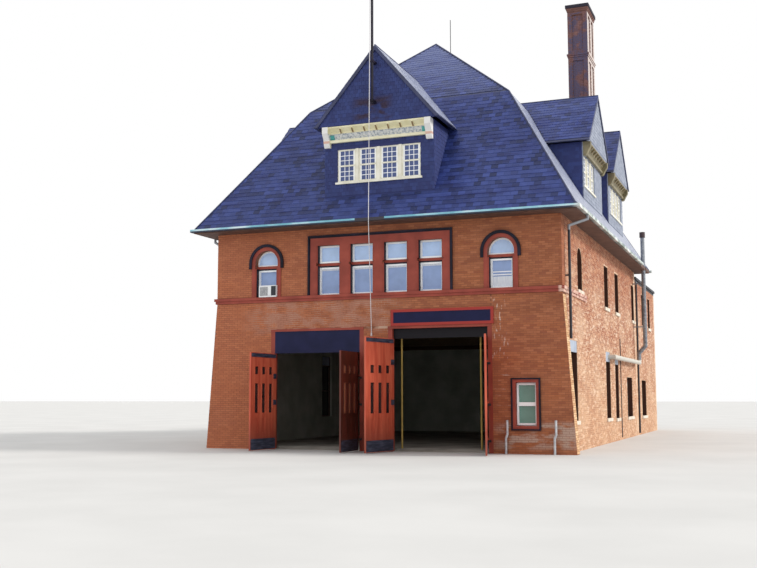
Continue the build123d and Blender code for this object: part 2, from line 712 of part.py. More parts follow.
def doors():
    hinges = []
    for name, angle in OPEN_ANGLES.items():
        bay = LEFT_BAY if name.startswith("left_bay") else RIGHT_BAY
        top = BAY_HEAD - (LEFT_TRANSOM if bay is LEFT_BAY else RIGHT_HEADER) - LEAF_TOP_GAP
        leaf = Rot(0, 0, -angle) * door_leaf(bay, top)
        carriers = pintles(top)
        if name.endswith("right_door"):
            place = Pos(bay[1], -PIN_OFFSET, 0)
            leaf = mirror(leaf, about=Plane.YZ)
            carriers = [mirror(carrier, about=Plane.YZ) for carrier in carriers]
        else:
            place = Pos(bay[0], -PIN_OFFSET, 0)
        save(name, place * leaf)
        hinges += [place * carrier for carrier in carriers]
    save("hinge_pintles", *hinges)


class Dormer:
    """Heights and reach of one kind of dormer, counted up from the main roof's slope."""

    def __init__(self, spec, break_inset, ridge_inset):
        self.half = spec["half"]
        self.gable_half = spec["half"] + spec["gable_margin"]
        self.front = GABLE_SET - spec["overhang"]
        self.overhang = spec["overhang"]
        self.sill = slope_foot(break_inset) + spec["sill_rise"]
        self.head = self.sill + spec["window_height"]
        self.top = self.head + spec["over_window"]
        self.apex = self.top + spec["gable_rise"]
        self.reach = slope_reach(self.apex, break_inset, ridge_inset) + DORMER_BITE
        self.light = spec["light"]
        self.foot = self.top - spec["cornice"]
        self.frieze = self.foot + CORNICE_MOULDING
        self.band = self.frieze + spec["frieze"]
        self.drop = self.foot - spec["console_drop"]

    def row(self, centre, count):
        """Ends of a row of lights."""
        half = (count * self.light + (count - 1) * MULLION) / 2
        return centre - half, centre + half


FRONT = Dormer(FRONT_DORMER, BREAK_INSET_Y, RIDGE_INSET_Y)
SIDE = Dormer(SIDE_DORMER, BREAK_INSET_X, ROOF_HALF)


def dormer_shell(kind, centre, window_centre, count):
    """Front and cheeks of a dormer, hollow and open at the windows."""
    left, right = kind.row(window_centre, count)
    shell = block(centre - kind.half, centre + kind.half, 0, kind.reach, EAVE_Z, kind.top)
    room = block(centre - kind.half + DORMER_WALL, centre + kind.half - DORMER_WALL, DORMER_WALL, kind.reach,
                 EAVE_Z, kind.top)
    return shell - room - slab(rect(left, right, kind.sill, kind.head), 0, DORMER_WALL)


def dormer_gable(kind, centre):
    """Roof covering with its overhang, and the boarded gable under it."""
    outer = outline((centre - kind.gable_half, kind.top), (centre, kind.apex),
                    (centre + kind.gable_half, kind.top))
    drop = DORMER_ROOF * kind.gable_half / (kind.apex - kind.top)
    low = kind.top - DORMER_ROOF
    extended = outline((centre - kind.gable_half - drop, low), (centre, kind.apex),
                       (centre + kind.gable_half + drop, low))
    inner = offset(extended, -DORMER_ROOF, kind=Kind.INTERSECTION)
    covering = slab(outer - inner, -kind.overhang, kind.reach + kind.overhang)
    return covering, slab(inner, kind.front, GABLE_THICKNESS)


def dormer_cornice(kind, centre):
    """Coved and coffered cornice between two consoles, which carries the gable's overhang."""
    brow = kind.front * FRIEZE_REACH
    band = kind.band
    fascia = kind.top - FASCIA
    line = Polyline((0, kind.top), (0, kind.foot), (-MOULDING_PROUD, kind.foot),
                    (-MOULDING_PROUD, kind.frieze), (-FRIEZE_SET, kind.frieze))
    cove = RadiusArc((-FRIEZE_SET, kind.frieze), (brow, band), -COVE_RADIUS)
    sunk = Polyline((brow, band), (brow, band + COFFER_SINK), (kind.front, fascia), (kind.front, kind.top),
                    (0, kind.top))
    end = kind.half - CONSOLE_SET - CONSOLE_WIDTH
    cornice = across(make_face(line + cove + sunk), centre - end, centre + end)
    rib = outline((brow, band), (kind.front, fascia - COFFER_SINK), (kind.front, fascia),
                  (brow, band + COFFER_SINK))
    pitch = 2 * end / COFFER_COUNT
    for i in range(1, COFFER_COUNT):
        x = centre - end + i * pitch
        cornice += across(rib, x - RIB_WIDTH / 2, x + RIB_WIDTH / 2)
    side = dormer_console(kind)
    cornice += across(side, centre - end - CONSOLE_WIDTH, centre - end)
    return cornice + across(side, centre + end, centre + end + CONSOLE_WIDTH)


def dormer_console(kind):
    """Side view of the block that ends a cornice: a stepped head over a curved foot."""
    out = kind.front - CONSOLE_PROUD
    neck = Polyline((0, kind.top), (0, kind.drop), (-CONSOLE_FOOT / 2, kind.drop))
    curve = RadiusArc((-CONSOLE_FOOT / 2, kind.drop), (-CONSOLE_FOOT, kind.frieze), CONSOLE_CURVE)
    head = Polyline((-CONSOLE_FOOT, kind.frieze), (out, kind.band), (out, kind.top), (0, kind.top))
    return make_face(neck + curve + head)


def dormer_windows(kind, centre, count):
    """Row of sashes between mullions on one sill, in a dormer's opening."""
    left, right = kind.row(centre, count)
    middle = (kind.sill + kind.head) / 2
    sill = block(left - DORMER_SILL_HORN, right + DORMER_SILL_HORN, -DORMER_SILL_PROUD, 0,
                 kind.sill - DORMER_SILL, kind.sill)
    merged = sill + block(left, right, -MULLION_PROUD, DORMER_WALL, kind.sill, kind.sill + MULLION_PROUD)
    panes = []
    for i in range(count):
        start = left + i * (kind.light + MULLION)
        frame, pane = sash(rect(start, start + kind.light, kind.sill, kind.head), [middle], DORMER_SASH_SET)
        merged += frame
        panes.append(pane)
        if i:
            merged += slab(rect(start - MULLION, start, kind.sill, kind.head), -MULLION_PROUD,
                           DORMER_WALL + MULLION_PROUD)
    return merged, panes


def dormers():
    """Front dormer and two pairs of side dormers, with the chimney let into the roofs beside it."""
    groups = {"walls": [], "roofs": [], "gables": [], "cornices": [], "windows": []}
    panes = []
    stack = chimney_body()
    places = [(FRONT, 0, 0, FRONT_LIGHTS, Pos(0, 0, 0))]
    places += [(SIDE, centre, centre + shift, count, RIGHT_SIDE)
               for (centre, shift), count in zip(SIDE_DORMERS, SIDE_DORMER_LIGHTS)]
    for kind, centre, window_centre, count, place in places:
        covering, gable = dormer_gable(kind, centre)
        merged, lights = dormer_windows(kind, window_centre, count)
        pieces = {"walls": place * dormer_shell(kind, centre, window_centre, count) - ROOF,
                  "roofs": place * covering - ROOF, "gables": place * gable,
                  "cornices": place * dormer_cornice(kind, centre), "windows": place * merged}
        for group, piece in pieces.items():
            groups[group] += (piece - stack).solids()
            if kind is SIDE:
                groups[group] += mirror(piece, about=Plane.YZ).solids()
        placed = [place * light for light in lights]
        panes += mirrored_pairs(placed) if kind is SIDE else placed
    for group, solids in groups.items():
        save(f"dormer_{group}", *solids)
    return panes


def dormer_wells():
    """Openings through the main roof under the dormers."""
    def well(kind, centre):
        half = kind.half - DORMER_WALL
        return block(centre - half, centre + half, DORMER_WALL, kind.reach, EAVE_Z, kind.top - DORMER_ROOF)
    wells = [well(FRONT, 0)]
    for centre, shift in SIDE_DORMERS:
        wells += both_sides(RIGHT_SIDE * well(SIDE, centre))
    return wells


def slope_prism(corners):
    """Upright prism over one slope's plan, from the eave to the break of the roof."""
    return Pos(0, 0, EAVE_Z) * extrude(outline(*corners), BREAK_Z - EAVE_Z)


def roof():
    """Four lower slopes split at the hips, the upper roof in one, and the soffit."""
    deep = MAIN_DEPTH / 2 / BREAK_INSET_Y
    across_deep = BREAK_INSET_X * deep
    front = [(-ROOF_HALF, -EAVE), (ROOF_HALF, -EAVE), (ROOF_HALF - across_deep, MAIN_DEPTH / 2 - EAVE),
             (across_deep - ROOF_HALF, MAIN_DEPTH / 2 - EAVE)]
    if across_deep > ROOF_HALF:
        meet = ROOF_HALF * BREAK_INSET_Y / BREAK_INSET_X
        front = [(-ROOF_HALF, -EAVE), (ROOF_HALF, -EAVE), (0, meet - EAVE)]
    ends = slope_prism(front) & SHELL
    ends = [ends, mirror(ends, about=Plane.XZ.offset(-MAIN_DEPTH / 2))]
    lower = block(-ROOF_HALF, ROOF_HALF, -EAVE, ROOF_BACK, EAVE_Z, BREAK_Z) & SHELL
    sides = lower - slope_prism(front) - mirror(slope_prism(front), about=Plane.XZ.offset(-MAIN_DEPTH / 2))
    notch = flue_notch()
    cutters = dormer_wells() + [chimney_body(), notch]
    for cutter in cutters:
        ends = [slope - cutter for slope in ends]
        sides -= cutter
    save("lower_roof_ends", *ends)
    save("lower_roof_sides", sides)
    save("upper_roof", block(-ROOF_HALF, ROOF_HALF, -EAVE, ROOF_BACK, BREAK_Z, RIDGE_Z) & SHELL)
    outer = block(-ROOF_HALF, ROOF_HALF, -EAVE, ROOF_BACK, WALL_TOP, EAVE_Z)
    save("soffit", outer - block(-HALF, HALF, 0, MAIN_DEPTH, WALL_TOP, EAVE_Z) - notch)


def gutter_run(length):
    """Channel along +x from the origin, its back at y = 0 and its rim at z = 0."""
    channel = block(0, length, -GUTTER_WIDTH, 0, -GUTTER_HEIGHT, 0)
    hollow = block(GUTTER_WALL, length - GUTTER_WALL, -GUTTER_WIDTH + GUTTER_WALL, -GUTTER_WALL,
                   -GUTTER_HEIGHT + GUTTER_WALL, 0)
    return channel - hollow


def gutters():
    """Runs round the eaves, the right one stopped short of the flue."""
    end_run = gutter_run(2 * (ROOF_HALF + GUTTER_WIDTH))
    front = Pos(-ROOF_HALF - GUTTER_WIDTH, -EAVE, EAVE_Z) * end_run
    rear = Pos(ROOF_HALF + GUTTER_WIDTH, ROOF_BACK, EAVE_Z) * Rot(0, 0, 180) * end_run
    side = Pos(ROOF_HALF, GUTTER_JOINT - EAVE, EAVE_Z) * Rot(0, 0, 90)
    right = side * gutter_run(MAIN_DEPTH - GUTTER_STOP + EAVE)
    left = mirror(side * gutter_run(ROOF_BACK + EAVE - 2 * GUTTER_JOINT), about=Plane.YZ)
    save("gutters", front, right, left, rear)


def chimney_ring(out, z0, z1):
    """Block round the chimney's plan, wider by the projection on every side."""
    x1 = HALF - CHIMNEY_SET
    return block(x1 - CHIMNEY_WIDTH - out, x1 + out, CHIMNEY_Y - out, CHIMNEY_Y + CHIMNEY_DEPTH + out, z0, z1)


def chimney_body():
    return chimney_ring(0, EAVE_Z, CHIMNEY_TOP)


def corbels(top):
    """Courses that step out under a height, the widest uppermost."""
    count = len(CORBEL_STEPS)
    return [chimney_ring(out, top - (count - i) * CORBEL_HEIGHT, top - (count - i - 1) * CORBEL_HEIGHT)
            for i, out in enumerate(CORBEL_STEPS)]


def chimney_panels(z0, z1):
    """Sunk panels of one tier: one on each end, two on each side."""
    x = HALF - CHIMNEY_SET - CHIMNEY_WIDTH / 2
    y = CHIMNEY_Y + CHIMNEY_DEPTH / 2
    side = CHIMNEY_WIDTH / 2 - PANEL_SINK
    end = CHIMNEY_DEPTH / 2 - PANEL_SINK
    panels = []
    for sign in (-1, 1):
        low, high = sorted((x + sign * side, x + sign * (side + 2 * PANEL_SINK)))
        for shift in (-1, 1):
            middle = y + shift * FLUE_PANEL_SHIFT
            panels.append(block(low, high, middle - FLUE_PANEL / 2, middle + FLUE_PANEL / 2, z0, z1))
        low, high = sorted((y + sign * end, y + sign * (end + 2 * PANEL_SINK)))
        panels.append(block(x - FLUE_PANEL / 2, x + FLUE_PANEL / 2, low, high, z0, z1))
    return panels


def chimney():
    """Brick stack in two tiers, with a corbelled belt and head under a flat cap."""
    neck = CHIMNEY_TOP - CAP_HEIGHT
    belt = CHIMNEY_TOP - CHIMNEY_TIER
    corbel_drop = len(CORBEL_STEPS) * CORBEL_HEIGHT
    stack = chimney_body() + corbels(neck) + corbels(belt) + chimney_ring(CHIMNEY_CAP, neck, CHIMNEY_TOP)
    for panel in chimney_panels(belt + TIER_MARGIN, neck - corbel_drop - TIER_MARGIN):
        stack -= panel
    for panel in chimney_panels(belt - LOWER_TIER, belt - corbel_drop - TIER_MARGIN):
        stack -= panel
    save("chimney", stack)


def flue_notch():
    """Cut in the eave round the riser, open towards its edge."""
    x = HALF + FLUE_RISER
    y = MAIN_DEPTH - FLUE_BEFORE_REAR
    reach = FLUE_RADIUS + NOTCH_CLEAR
    return block(x - reach, ROOF_HALF + ROOF_THICKNESS, y - reach, y + reach, WALL_TOP, EAVE_Z + NOTCH_RISE)


def flue():
    """Round flue from a window's infill panel, along the wall and up past the eave."""
    place, width, sill, height = SIDE_GROUND[1]
    start = place + FLUE_SHIFT
    level = sill + height + INFILL_HEIGHT / 2
    turn = MAIN_DEPTH - FLUE_BEFORE_REAR
    x = HALF + FLUE_STAND
    riser = HALF + FLUE_RISER
    top = EAVE_Z + FLUE_ABOVE_EAVE
    points = [(HALF - SASH_SET, start, level), (x, start, level), (x, turn, level),
              (x, turn, level + FLUE_OFFSET[0]), (riser, turn, level + FLUE_OFFSET[1]), (riser, turn, top)]
    stack = pipe(points, FLUE_RADIUS, (0, 1, 0))
    stack += Pos(riser, turn, top - FLUE_HOOD[1] / 2) * rod(FLUE_HOOD[0], FLUE_HOOD[1])
    for rise in FLUE_BRACKETS:
        stack += block(HALF, riser, turn - FLUE_STRAP / 2, turn + FLUE_STRAP / 2, level + rise,
                       level + rise + FLUE_STRAP)
    save("flue_stack", stack)


def pipes():
    """Downspouts and a thin conduit on the side walls, and two standpipes at the right pier."""
    out = HALF + PIPE_STAND + PIPE_RADIUS
    outlet = ROOF_HALF + GUTTER_WIDTH / 2
    rim = EAVE_Z - GUTTER_HEIGHT
    first = pipe([(outlet, SPOUT_Y, rim), (outlet, SPOUT_Y, rim - SPOUT_NECK),
                  (out, SPOUT_WALL_Y, rim - SPOUT_NECK - SPOUT_ELBOW), (out, SPOUT_WALL_Y, SPOUT_FOOT)],
                 PIPE_RADIUS)
    for z in (SPOUT_FOOT + PIPE_STAND, (SPOUT_FOOT + rim) / 2):
        first += block(HALF, out, SPOUT_WALL_Y - SPOUT_STRAP / 2, SPOUT_WALL_Y + SPOUT_STRAP / 2, z,
                       z + FLUE_STRAP)
    second = Pos(HALF + PIPE_RADIUS, MAIN_DEPTH + WING_SPOUT_Y, SLAB) * rod(PIPE_RADIUS, WING_TOP - SLAB)
    conduit = Pos(HALF + CONDUIT_RADIUS, CONDUIT_Y, SLAB) * rod(CONDUIT_RADIUS, CONDUIT_TOP - SLAB)
    save("downspouts", *both_sides(first), *both_sides(second), conduit)
    stands = []
    for x in (bay_edges(RIGHT_BAY)[1] + STAND_FROM_BAY, HALF - STAND_FROM_CORNER):
        low, high, shift = STAND_BEND
        stand = pipe([(x, -STAND_OFF, 0), (x, -STAND_OFF, low), (x + shift, -STAND_OFF, high),
                      (x + shift, -STAND_OFF, STAND_TOP)], STAND_RADIUS)
        z, size = STAND_CLIP
        stands.append(stand + block(x + shift - size / 2, x + shift + size / 2, -STAND_OFF, 0, z, z + size))
    save("standpipes", *stands)


def flagpole():
    """Pole on two clamps before the front gable, its halyard drawn taut to a cleat, and the ridge's rod."""
    y = -FRONT.overhang - POLE_GAP
    foot = FRONT.top + POLE_ABOVE_CORNICE
    top = foot + POLE_LENGTH
    pole = Pos(0, y, foot) * rod(POLE_RADIUS, POLE_LENGTH)
    for rise in POLE_CLAMPS:
        pole += block(-CLAMP_WIDTH / 2, CLAMP_WIDTH / 2, y - CLAMP_WIDTH / 2, FRONT.front, foot + rise,
                      foot + rise + CLAMP_HEIGHT)
    cap = extrude(RegularPolygon(FINIAL, PIPE_SIDES), FINIAL, taper=FINIAL_TAPER)
    pole += Pos(0, y, top + FINIAL) * (cap + mirror(cap, about=Plane.XY))
    save("flagpole", pole)
    head = Vector(-POLE_RADIUS - ROPE_RADIUS - ROPE_CLEAR, y, top - CLAMP_WIDTH)
    bend = Vector(ROPE_BEND, -EAVE - GUTTER_WIDTH - ROPE_RADIUS - ROPE_CLEAR, EAVE_Z - GUTTER_HEIGHT)
    end = Vector(CLEAT[0], -CLEAT_SIZE[1] / 2, CLEAT[1])
    cleat = block(CLEAT[0] - CLEAT_SIZE[0] / 2, CLEAT[0] + CLEAT_SIZE[0] / 2, -CLEAT_SIZE[1], 0,
                  CLEAT[1] - CLEAT_SIZE[2], CLEAT[1])
    save("halyard", pipe([head, bend, end], ROPE_RADIUS) + cleat)
    save("lightning_rod", Pos(0, ROD_Y, RIDGE_Z) * rod(ROD_RADIUS, ROD_HEIGHT))


piers()
front_wall()
string_course()
glass = front_trim()
side_walls()
glass += side_windows()
floors()
bays()
doors()
glass += dormers()
save("window_glass", *glass)
roof()
gutters()
chimney()
flue()
pipes()
flagpole()
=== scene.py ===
import math
import random

import bpy
from mathutils import Matrix, Vector


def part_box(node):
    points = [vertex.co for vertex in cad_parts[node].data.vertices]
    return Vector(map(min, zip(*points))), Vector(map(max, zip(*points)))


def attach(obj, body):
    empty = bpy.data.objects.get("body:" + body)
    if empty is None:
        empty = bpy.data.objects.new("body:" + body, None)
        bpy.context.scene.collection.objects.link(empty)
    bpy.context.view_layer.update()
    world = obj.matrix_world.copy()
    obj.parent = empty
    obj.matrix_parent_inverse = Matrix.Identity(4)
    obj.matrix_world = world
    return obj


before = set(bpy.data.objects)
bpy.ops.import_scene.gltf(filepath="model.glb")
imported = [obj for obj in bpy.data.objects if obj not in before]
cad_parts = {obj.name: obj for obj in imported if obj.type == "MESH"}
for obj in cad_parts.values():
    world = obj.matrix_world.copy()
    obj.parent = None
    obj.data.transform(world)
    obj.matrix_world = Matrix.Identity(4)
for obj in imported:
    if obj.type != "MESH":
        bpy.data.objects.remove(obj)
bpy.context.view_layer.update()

# The floor, the daylight and the camera. The station stands on a plain pale floor
# under an even sky, with low soft sun on its right flank, as in the photograph,
# and the camera stands across the street, right of the doors, at eye height.


def linear(code):
    """The linear colour of a hex sRGB code."""
    parts = [int(code[place:place + 2], 16) / 255 for place in (1, 3, 5)]
    bent = [part / 12.92 if part <= 0.04045 else ((part + 0.055) / 1.055) ** 2.4 for part in parts]
    return (*bent, 1.0)


def add(tree, kind, inputs=None, **settings):
    """A new node: its own settings by name, and a link, a hex code or a value for each input socket."""
    node = tree.nodes.new(kind)
    for name, value in settings.items():
        setattr(node, name, value)
    for socket, value in (inputs or {}).items():
        if isinstance(value, bpy.types.NodeSocket):
            tree.links.new(value, node.inputs[socket])
        else:
            coded = isinstance(value, str) and value.startswith("#")
            node.inputs[socket].default_value = linear(value) if coded else value
    return node


def fresh_material(name, roughness, **sockets):
    """A new material, its tree, its shader and the piece's own coordinates in metres."""
    material = bpy.data.materials.new(name)
    material.use_nodes = True
    tree = material.node_tree
    tree.nodes.clear()
    shader = add(tree, "ShaderNodeBsdfPrincipled", {"Roughness": roughness, **sockets})
    add(tree, "ShaderNodeOutputMaterial", {"Surface": shader.outputs["BSDF"]})
    place = add(tree, "ShaderNodeTexCoord").outputs["Object"]
    return material, tree, shader, place


def cloudy(tree, place, size):
    """Noise in patches of about this size in metres, along x, y and z where three sizes are given."""
    sizes = size if isinstance(size, tuple) else (size, size, size)
    scaled = add(tree, "ShaderNodeVectorMath", {0: place, 1: tuple(1 / part for part in sizes)},
                 operation="MULTIPLY")
    return add(tree, "ShaderNodeTexNoise",
               {"Vector": scaled.outputs[0], "Scale": 1.0, "Detail": 5.0}).outputs["Fac"]


def patchy(tree, place, size, codes, low=0.35, high=0.65):
    """A colour that wanders through these codes over patches of this size."""
    return graded(tree, cloudy(tree, place, size), codes, low, high)


def graded(tree, value, codes, low=0.0, high=1.0):
    """The colour that a value picks from these codes, spread evenly from low to high."""
    ramp = add(tree, "ShaderNodeValToRGB", {"Fac": value})
    stops = ramp.color_ramp.elements
    stops[0].position, stops[-1].position = low, high
    for number in range(1, len(codes) - 1):
        stops.new(low + (high - low) * number / (len(codes) - 1))
    for stop, code in zip(stops, codes):
        stop.color = linear(code)
    return ramp.outputs["Color"]


def mixed(tree, share, first, second, blend="MIX"):
    """Two colours mixed by a share; each is a link or a hex code."""
    return add(tree, "ShaderNodeMix", {0: share, 6: first, 7: second},
               data_type="RGBA", blend_type=blend).outputs[2]


# The softness of a box's edge, as a share of its half size: a crisp edge, a stain's
# blurred one, and how fast a stain's blots fade
SHARP, BLURRED, BLOT_FADE = 0.0005, 0.25, 0.12


def beyond(tree, place, low, high, soft=0.01):
    """0 inside a box and 1 outside it, its edge as soft as this share of its half size."""
    centre = [(start + end) / 2 for start, end in zip(low, high)]
    half = [(end - start) / 2 for start, end in zip(low, high)]
    away = add(tree, "ShaderNodeVectorMath", {0: place, 1: centre}, operation="SUBTRACT")
    away = add(tree, "ShaderNodeVectorMath", {0: away.outputs[0], 1: half}, operation="DIVIDE")
    away = add(tree, "ShaderNodeVectorMath", {0: away.outputs[0]}, operation="ABSOLUTE")
    parts = add(tree, "ShaderNodeSeparateXYZ", {0: away.outputs[0]})
    widest = add(tree, "ShaderNodeMath", {0: parts.outputs[0], 1: parts.outputs[1]}, operation="MAXIMUM")
    widest = add(tree, "ShaderNodeMath", {0: widest.outputs[0], 1: parts.outputs[2]}, operation="MAXIMUM")
    return add(tree, "ShaderNodeMapRange",
               {"Value": widest.outputs[0], "From Min": 1 - soft, "From Max": 1 + soft}).outputs[0]


def stained(tree, place, colour, low, high, code, size, least=0.5):
    """The colour with blots of another, of this size, inside a box whose edge is soft."""
    blot = add(tree, "ShaderNodeMapRange", {
        "Value": cloudy(tree, place, size), "From Min": least, "From Max": least + BLOT_FADE}).outputs[0]
    return mixed(tree, beyond(tree, place, low, high, BLURRED), mixed(tree, blot, colour, code), colour)


def roughened(tree, shader, place, size, depth):
    """Gives the face a fine relief: lumps of this size and depth in metres."""
    lumps = add(tree, "ShaderNodeTexNoise", {"Vector": place, "Scale": 1 / size, "Detail": 4.0})
    relief = add(tree, "ShaderNodeBump", {"Height": lumps.outputs["Fac"], "Distance": depth})
    tree.links.new(relief.outputs["Normal"], shader.inputs["Normal"])


def paint_shader(tree, shader, colour):
    """Joins a colour to the shader."""
    tree.links.new(colour, shader.inputs["Base Color"])


def dress(material, *names):
    """Gives CAD nodes this material in place of their plain one."""
    for name in names:
        for number in range(len(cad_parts[name].data.materials)):
            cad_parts[name].data.materials[number] = material


def painted(name, roughness, size, codes, nodes=(), relief=None, **sockets):
    """A material in patches of these codes, with lumps where relief sets them, put on these nodes."""
    material, tree, shader, place = fresh_material(name, roughness, **sockets)
    paint_shader(tree, shader, patchy(tree, place, size, codes))
    if relief:
        roughened(tree, shader, place, *relief)
    dress(material, *nodes)
    return material


def linked(name, data):
    """A new object, linked to the scene."""
    thing = bpy.data.objects.new(name, data)
    bpy.context.collection.objects.link(thing)
    return thing


REACH = 300.0
floor_mesh = bpy.data.meshes.new("studio_floor")
floor_mesh.from_pydata([(-REACH, -REACH, 0), (REACH, -REACH, 0), (REACH, REACH, 0), (-REACH, REACH, 0)],
                       [], [(0, 1, 2, 3)])
floor_mesh.materials.append(painted("pale_studio_floor", 0.9, 3.0, ["#cbcbca", "#d1d1d0"],
                                    **{"Specular IOR Level": 0.1}))
studio_floor = linked("studio_floor", floor_mesh)

sky = bpy.data.worlds.new("even_sky")
sky.use_nodes = True
sky.node_tree.nodes.clear()
light = add(sky.node_tree, "ShaderNodeBackground", {"Color": "#ffffff", "Strength": 1.0})
add(sky.node_tree, "ShaderNodeOutputWorld", {"Surface": light.outputs[0]})
bpy.context.scene.world = sky

SUN_FROM = Vector((0.82, 0.2, 0.52))
sun_light = bpy.data.lights.new("low_soft_sun", "SUN")
sun_light.energy = 2.2
sun_light.angle = math.radians(12)
sun_light.color = (1.0, 0.96, 0.9)
sun = linked("low_soft_sun", sun_light)
sun.rotation_euler = (-SUN_FROM).to_track_quat("-Z", "Y").to_euler()

lens = bpy.data.cameras.new("street_camera")
lens.lens = 48.78
lens.sensor_width = 36.0
lens.clip_end = 1000.0
camera = linked("street_camera", lens)
camera.location = (13.147, -46.489, 1.906)
camera.rotation_euler = [math.radians(angle) for angle in (96.236, 0.09, 21.45)]
bpy.context.scene.camera = camera
bpy.context.scene.view_settings.view_transform = "Standard"

# The ground slab and the floors: cast concrete under the vehicle hall, boarded
# timber floors above it and in the attic.

painted("cast_concrete_with_oil_stains", 0.85, 1.2, ["#6f6b64", "#8d8982", "#9a968f"], ["ground_slab"],
        (0.02, 0.003))

# A wave texture of this scale repeats once a metre
WAVE_METRE = 0.314
FLOOR_BOARD, SEAM_SHARE = 0.12, 0.06
floor_boards, tree, shader, place = fresh_material("floor_boards", 0.6)
boards = add(tree, "ShaderNodeTexWave",
             {"Vector": place, "Scale": WAVE_METRE / FLOOR_BOARD, "Distortion": 0.0},
             bands_direction="X", wave_profile="SAW")
seams = graded(tree, boards.outputs["Fac"], ["#000000", "#ffffff"], 0.0, SEAM_SHARE)
grain = patchy(tree, place, 0.25, ["#7a5a3c", "#916d49", "#a07c56"])
paint_shader(tree, shader, mixed(tree, seams, "#3d2b1d", grain))
dress(floor_boards, "upper_floor", "attic_floor")

# The front brickwork: battered end piers, the pier between the bays, the patched
# spandrel over them and the upper wall. Pressed orange-red bricks in running bond
# with brown mortar, each one laid on the face that the frame's wall gives.

COURSE = 0.075
BRICK_LENGTH, BRICK_HEIGHT, JOINT = 0.215, 0.065, 0.010
BRICK_DEPTH, BRICK_SINK, BRICK_WAVER = 0.016, 0.003, 0.0008
# The shortest cut block, the gap that still joins two stretches, how much of the
# first course may lie under the face, and where up its height a course is held to it
LEAST_CUT, TOUCHING, SUNK_START = 0.05, 0.003, 0.3
HELD_AT = (0.04, 0.5, 0.9)


def laid_blocks_tree():
    """Sets a box on every point, turned and sized by the point's own attributes."""
    tree = bpy.data.node_groups.new("laid_blocks", "GeometryNodeTree")
    for name, kind in (("Geometry", "Geometry"), ("Waver", "Float"), ("Seed", "Int"),
                       ("Finish", "Material")):
        tree.interface.new_socket(name, in_out="INPUT", socket_type="NodeSocket" + kind)
    tree.interface.new_socket("Geometry", in_out="OUTPUT", socket_type="NodeSocketGeometry")
    given = add(tree, "NodeGroupInput")
    size = add(tree, "GeometryNodeInputNamedAttribute", {"Name": "size"}, data_type="FLOAT_VECTOR")
    turn = add(tree, "GeometryNodeInputNamedAttribute", {"Name": "turn"}, data_type="FLOAT_VECTOR")
    least = add(tree, "ShaderNodeVectorMath", {0: given.outputs["Waver"], 1: (-1, -1, -1)},
                operation="MULTIPLY")
    shake = add(tree, "FunctionNodeRandomValue", {
        "Min": least.outputs[0], "Max": given.outputs["Waver"], "Seed": given.outputs["Seed"]},
        data_type="FLOAT_VECTOR")
    points = add(tree, "GeometryNodeSetPosition",
                 {"Geometry": given.outputs["Geometry"], "Offset": shake.outputs[0]})
    block = add(tree, "GeometryNodeMeshCube", {"Size": (1, 1, 1)})
    laid = add(tree, "GeometryNodeInstanceOnPoints", {
        "Points": points.outputs["Geometry"], "Instance": block.outputs["Mesh"],
        "Rotation": turn.outputs["Attribute"], "Scale": size.outputs["Attribute"]})
    solid = add(tree, "GeometryNodeRealizeInstances", {"Geometry": laid.outputs["Instances"]})
    dressed = add(tree, "GeometryNodeSetMaterial",
                  {"Geometry": solid.outputs["Geometry"], "Material": given.outputs["Finish"]})
    add(tree, "NodeGroupOutput", {"Geometry": dressed.outputs["Geometry"]})
    return tree


LAID_BLOCKS = laid_blocks_tree()


def lay(name, blocks, material, waver, seed, body="building"):
    """Makes one piece of blocks, each given as centre, size, turn and tone."""
    points = bpy.data.meshes.new(name + "_points")
    points.from_pydata([block[0] for block in blocks], [], [])
    for label, kind, column in (("size", "FLOAT_VECTOR", 1), ("turn", "FLOAT_VECTOR", 2),
                                ("tone", "FLOAT", 3)):
        vector = kind == "FLOAT_VECTOR"
        flat = [part for block in blocks for part in (block[column] if vector else (block[column],))]
        points.attributes.new(label, kind, "POINT").data.foreach_set("vector" if vector else "value", flat)
    holder = linked(name, points)
    modifier = holder.modifiers.new("laid_blocks", "NODES")
    modifier.node_group = LAID_BLOCKS
    given = {item.name: item.identifier for item in LAID_BLOCKS.interface.items_tree
             if item.in_out == "INPUT"}
    modifier[given["Waver"]] = waver
    modifier[given["Seed"]] = seed
    modifier[given["Finish"]] = material
    graph = bpy.context.evaluated_depsgraph_get()
    made = bpy.data.meshes.new_from_object(holder.evaluated_get(graph))
    for label in ("size", "turn"):
        if label in made.attributes:
            made.attributes.remove(made.attributes[label])
    spots = [0.0] * (3 * len(made.vertices))
    made.vertices.foreach_get("co", spots)
    spots[2::3] = [max(rise, 0.0) for rise in spots[2::3]]
    made.vertices.foreach_set("co", spots)
    holder.modifiers.clear()
    holder.data = made
    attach(holder, body)


def faces_of(name, wanted):
    """The flat faces of a CAD node that wanted(normal, place) keeps: pairs of a normal and its triangles."""
    planes = {}
    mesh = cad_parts[name].data
    for face in mesh.polygons:
        if wanted(face.normal, face.center):
            key = tuple(round(part, 2) for part in (*face.normal, face.normal.dot(face.center)))
            plane = planes.setdefault(key, (face.normal.copy(), []))
            plane[1].append([mesh.vertices[corner].co.copy() for corner in face.vertices])
    return list(planes.values())


def stretches(flat, height):
    """The stretches of a level line that lie on these flat triangles, joined where they touch."""
    cuts = []
    for corners in flat:
        crossed = [u0 + (u1 - u0) * (height - v0) / (v1 - v0)
                   for (u0, v0), (u1, v1) in zip(corners, corners[1:] + corners[:1])
                   if (v0 > height) != (v1 > height)]
        if len(crossed) == 2:
            cuts.append(sorted(crossed))
    joined = []
    for low, high in sorted(cuts):
        if joined and low < joined[-1][1] + TOUCHING:
            joined[-1][1] = max(joined[-1][1], high)
        else:
            joined.append([low, high])
    return joined


def common(first, second):
    """What two lists of stretches share."""
    return [[max(a, c), min(b, d)] for a, b in first for c, d in second if min(b, d) > max(a, c)]


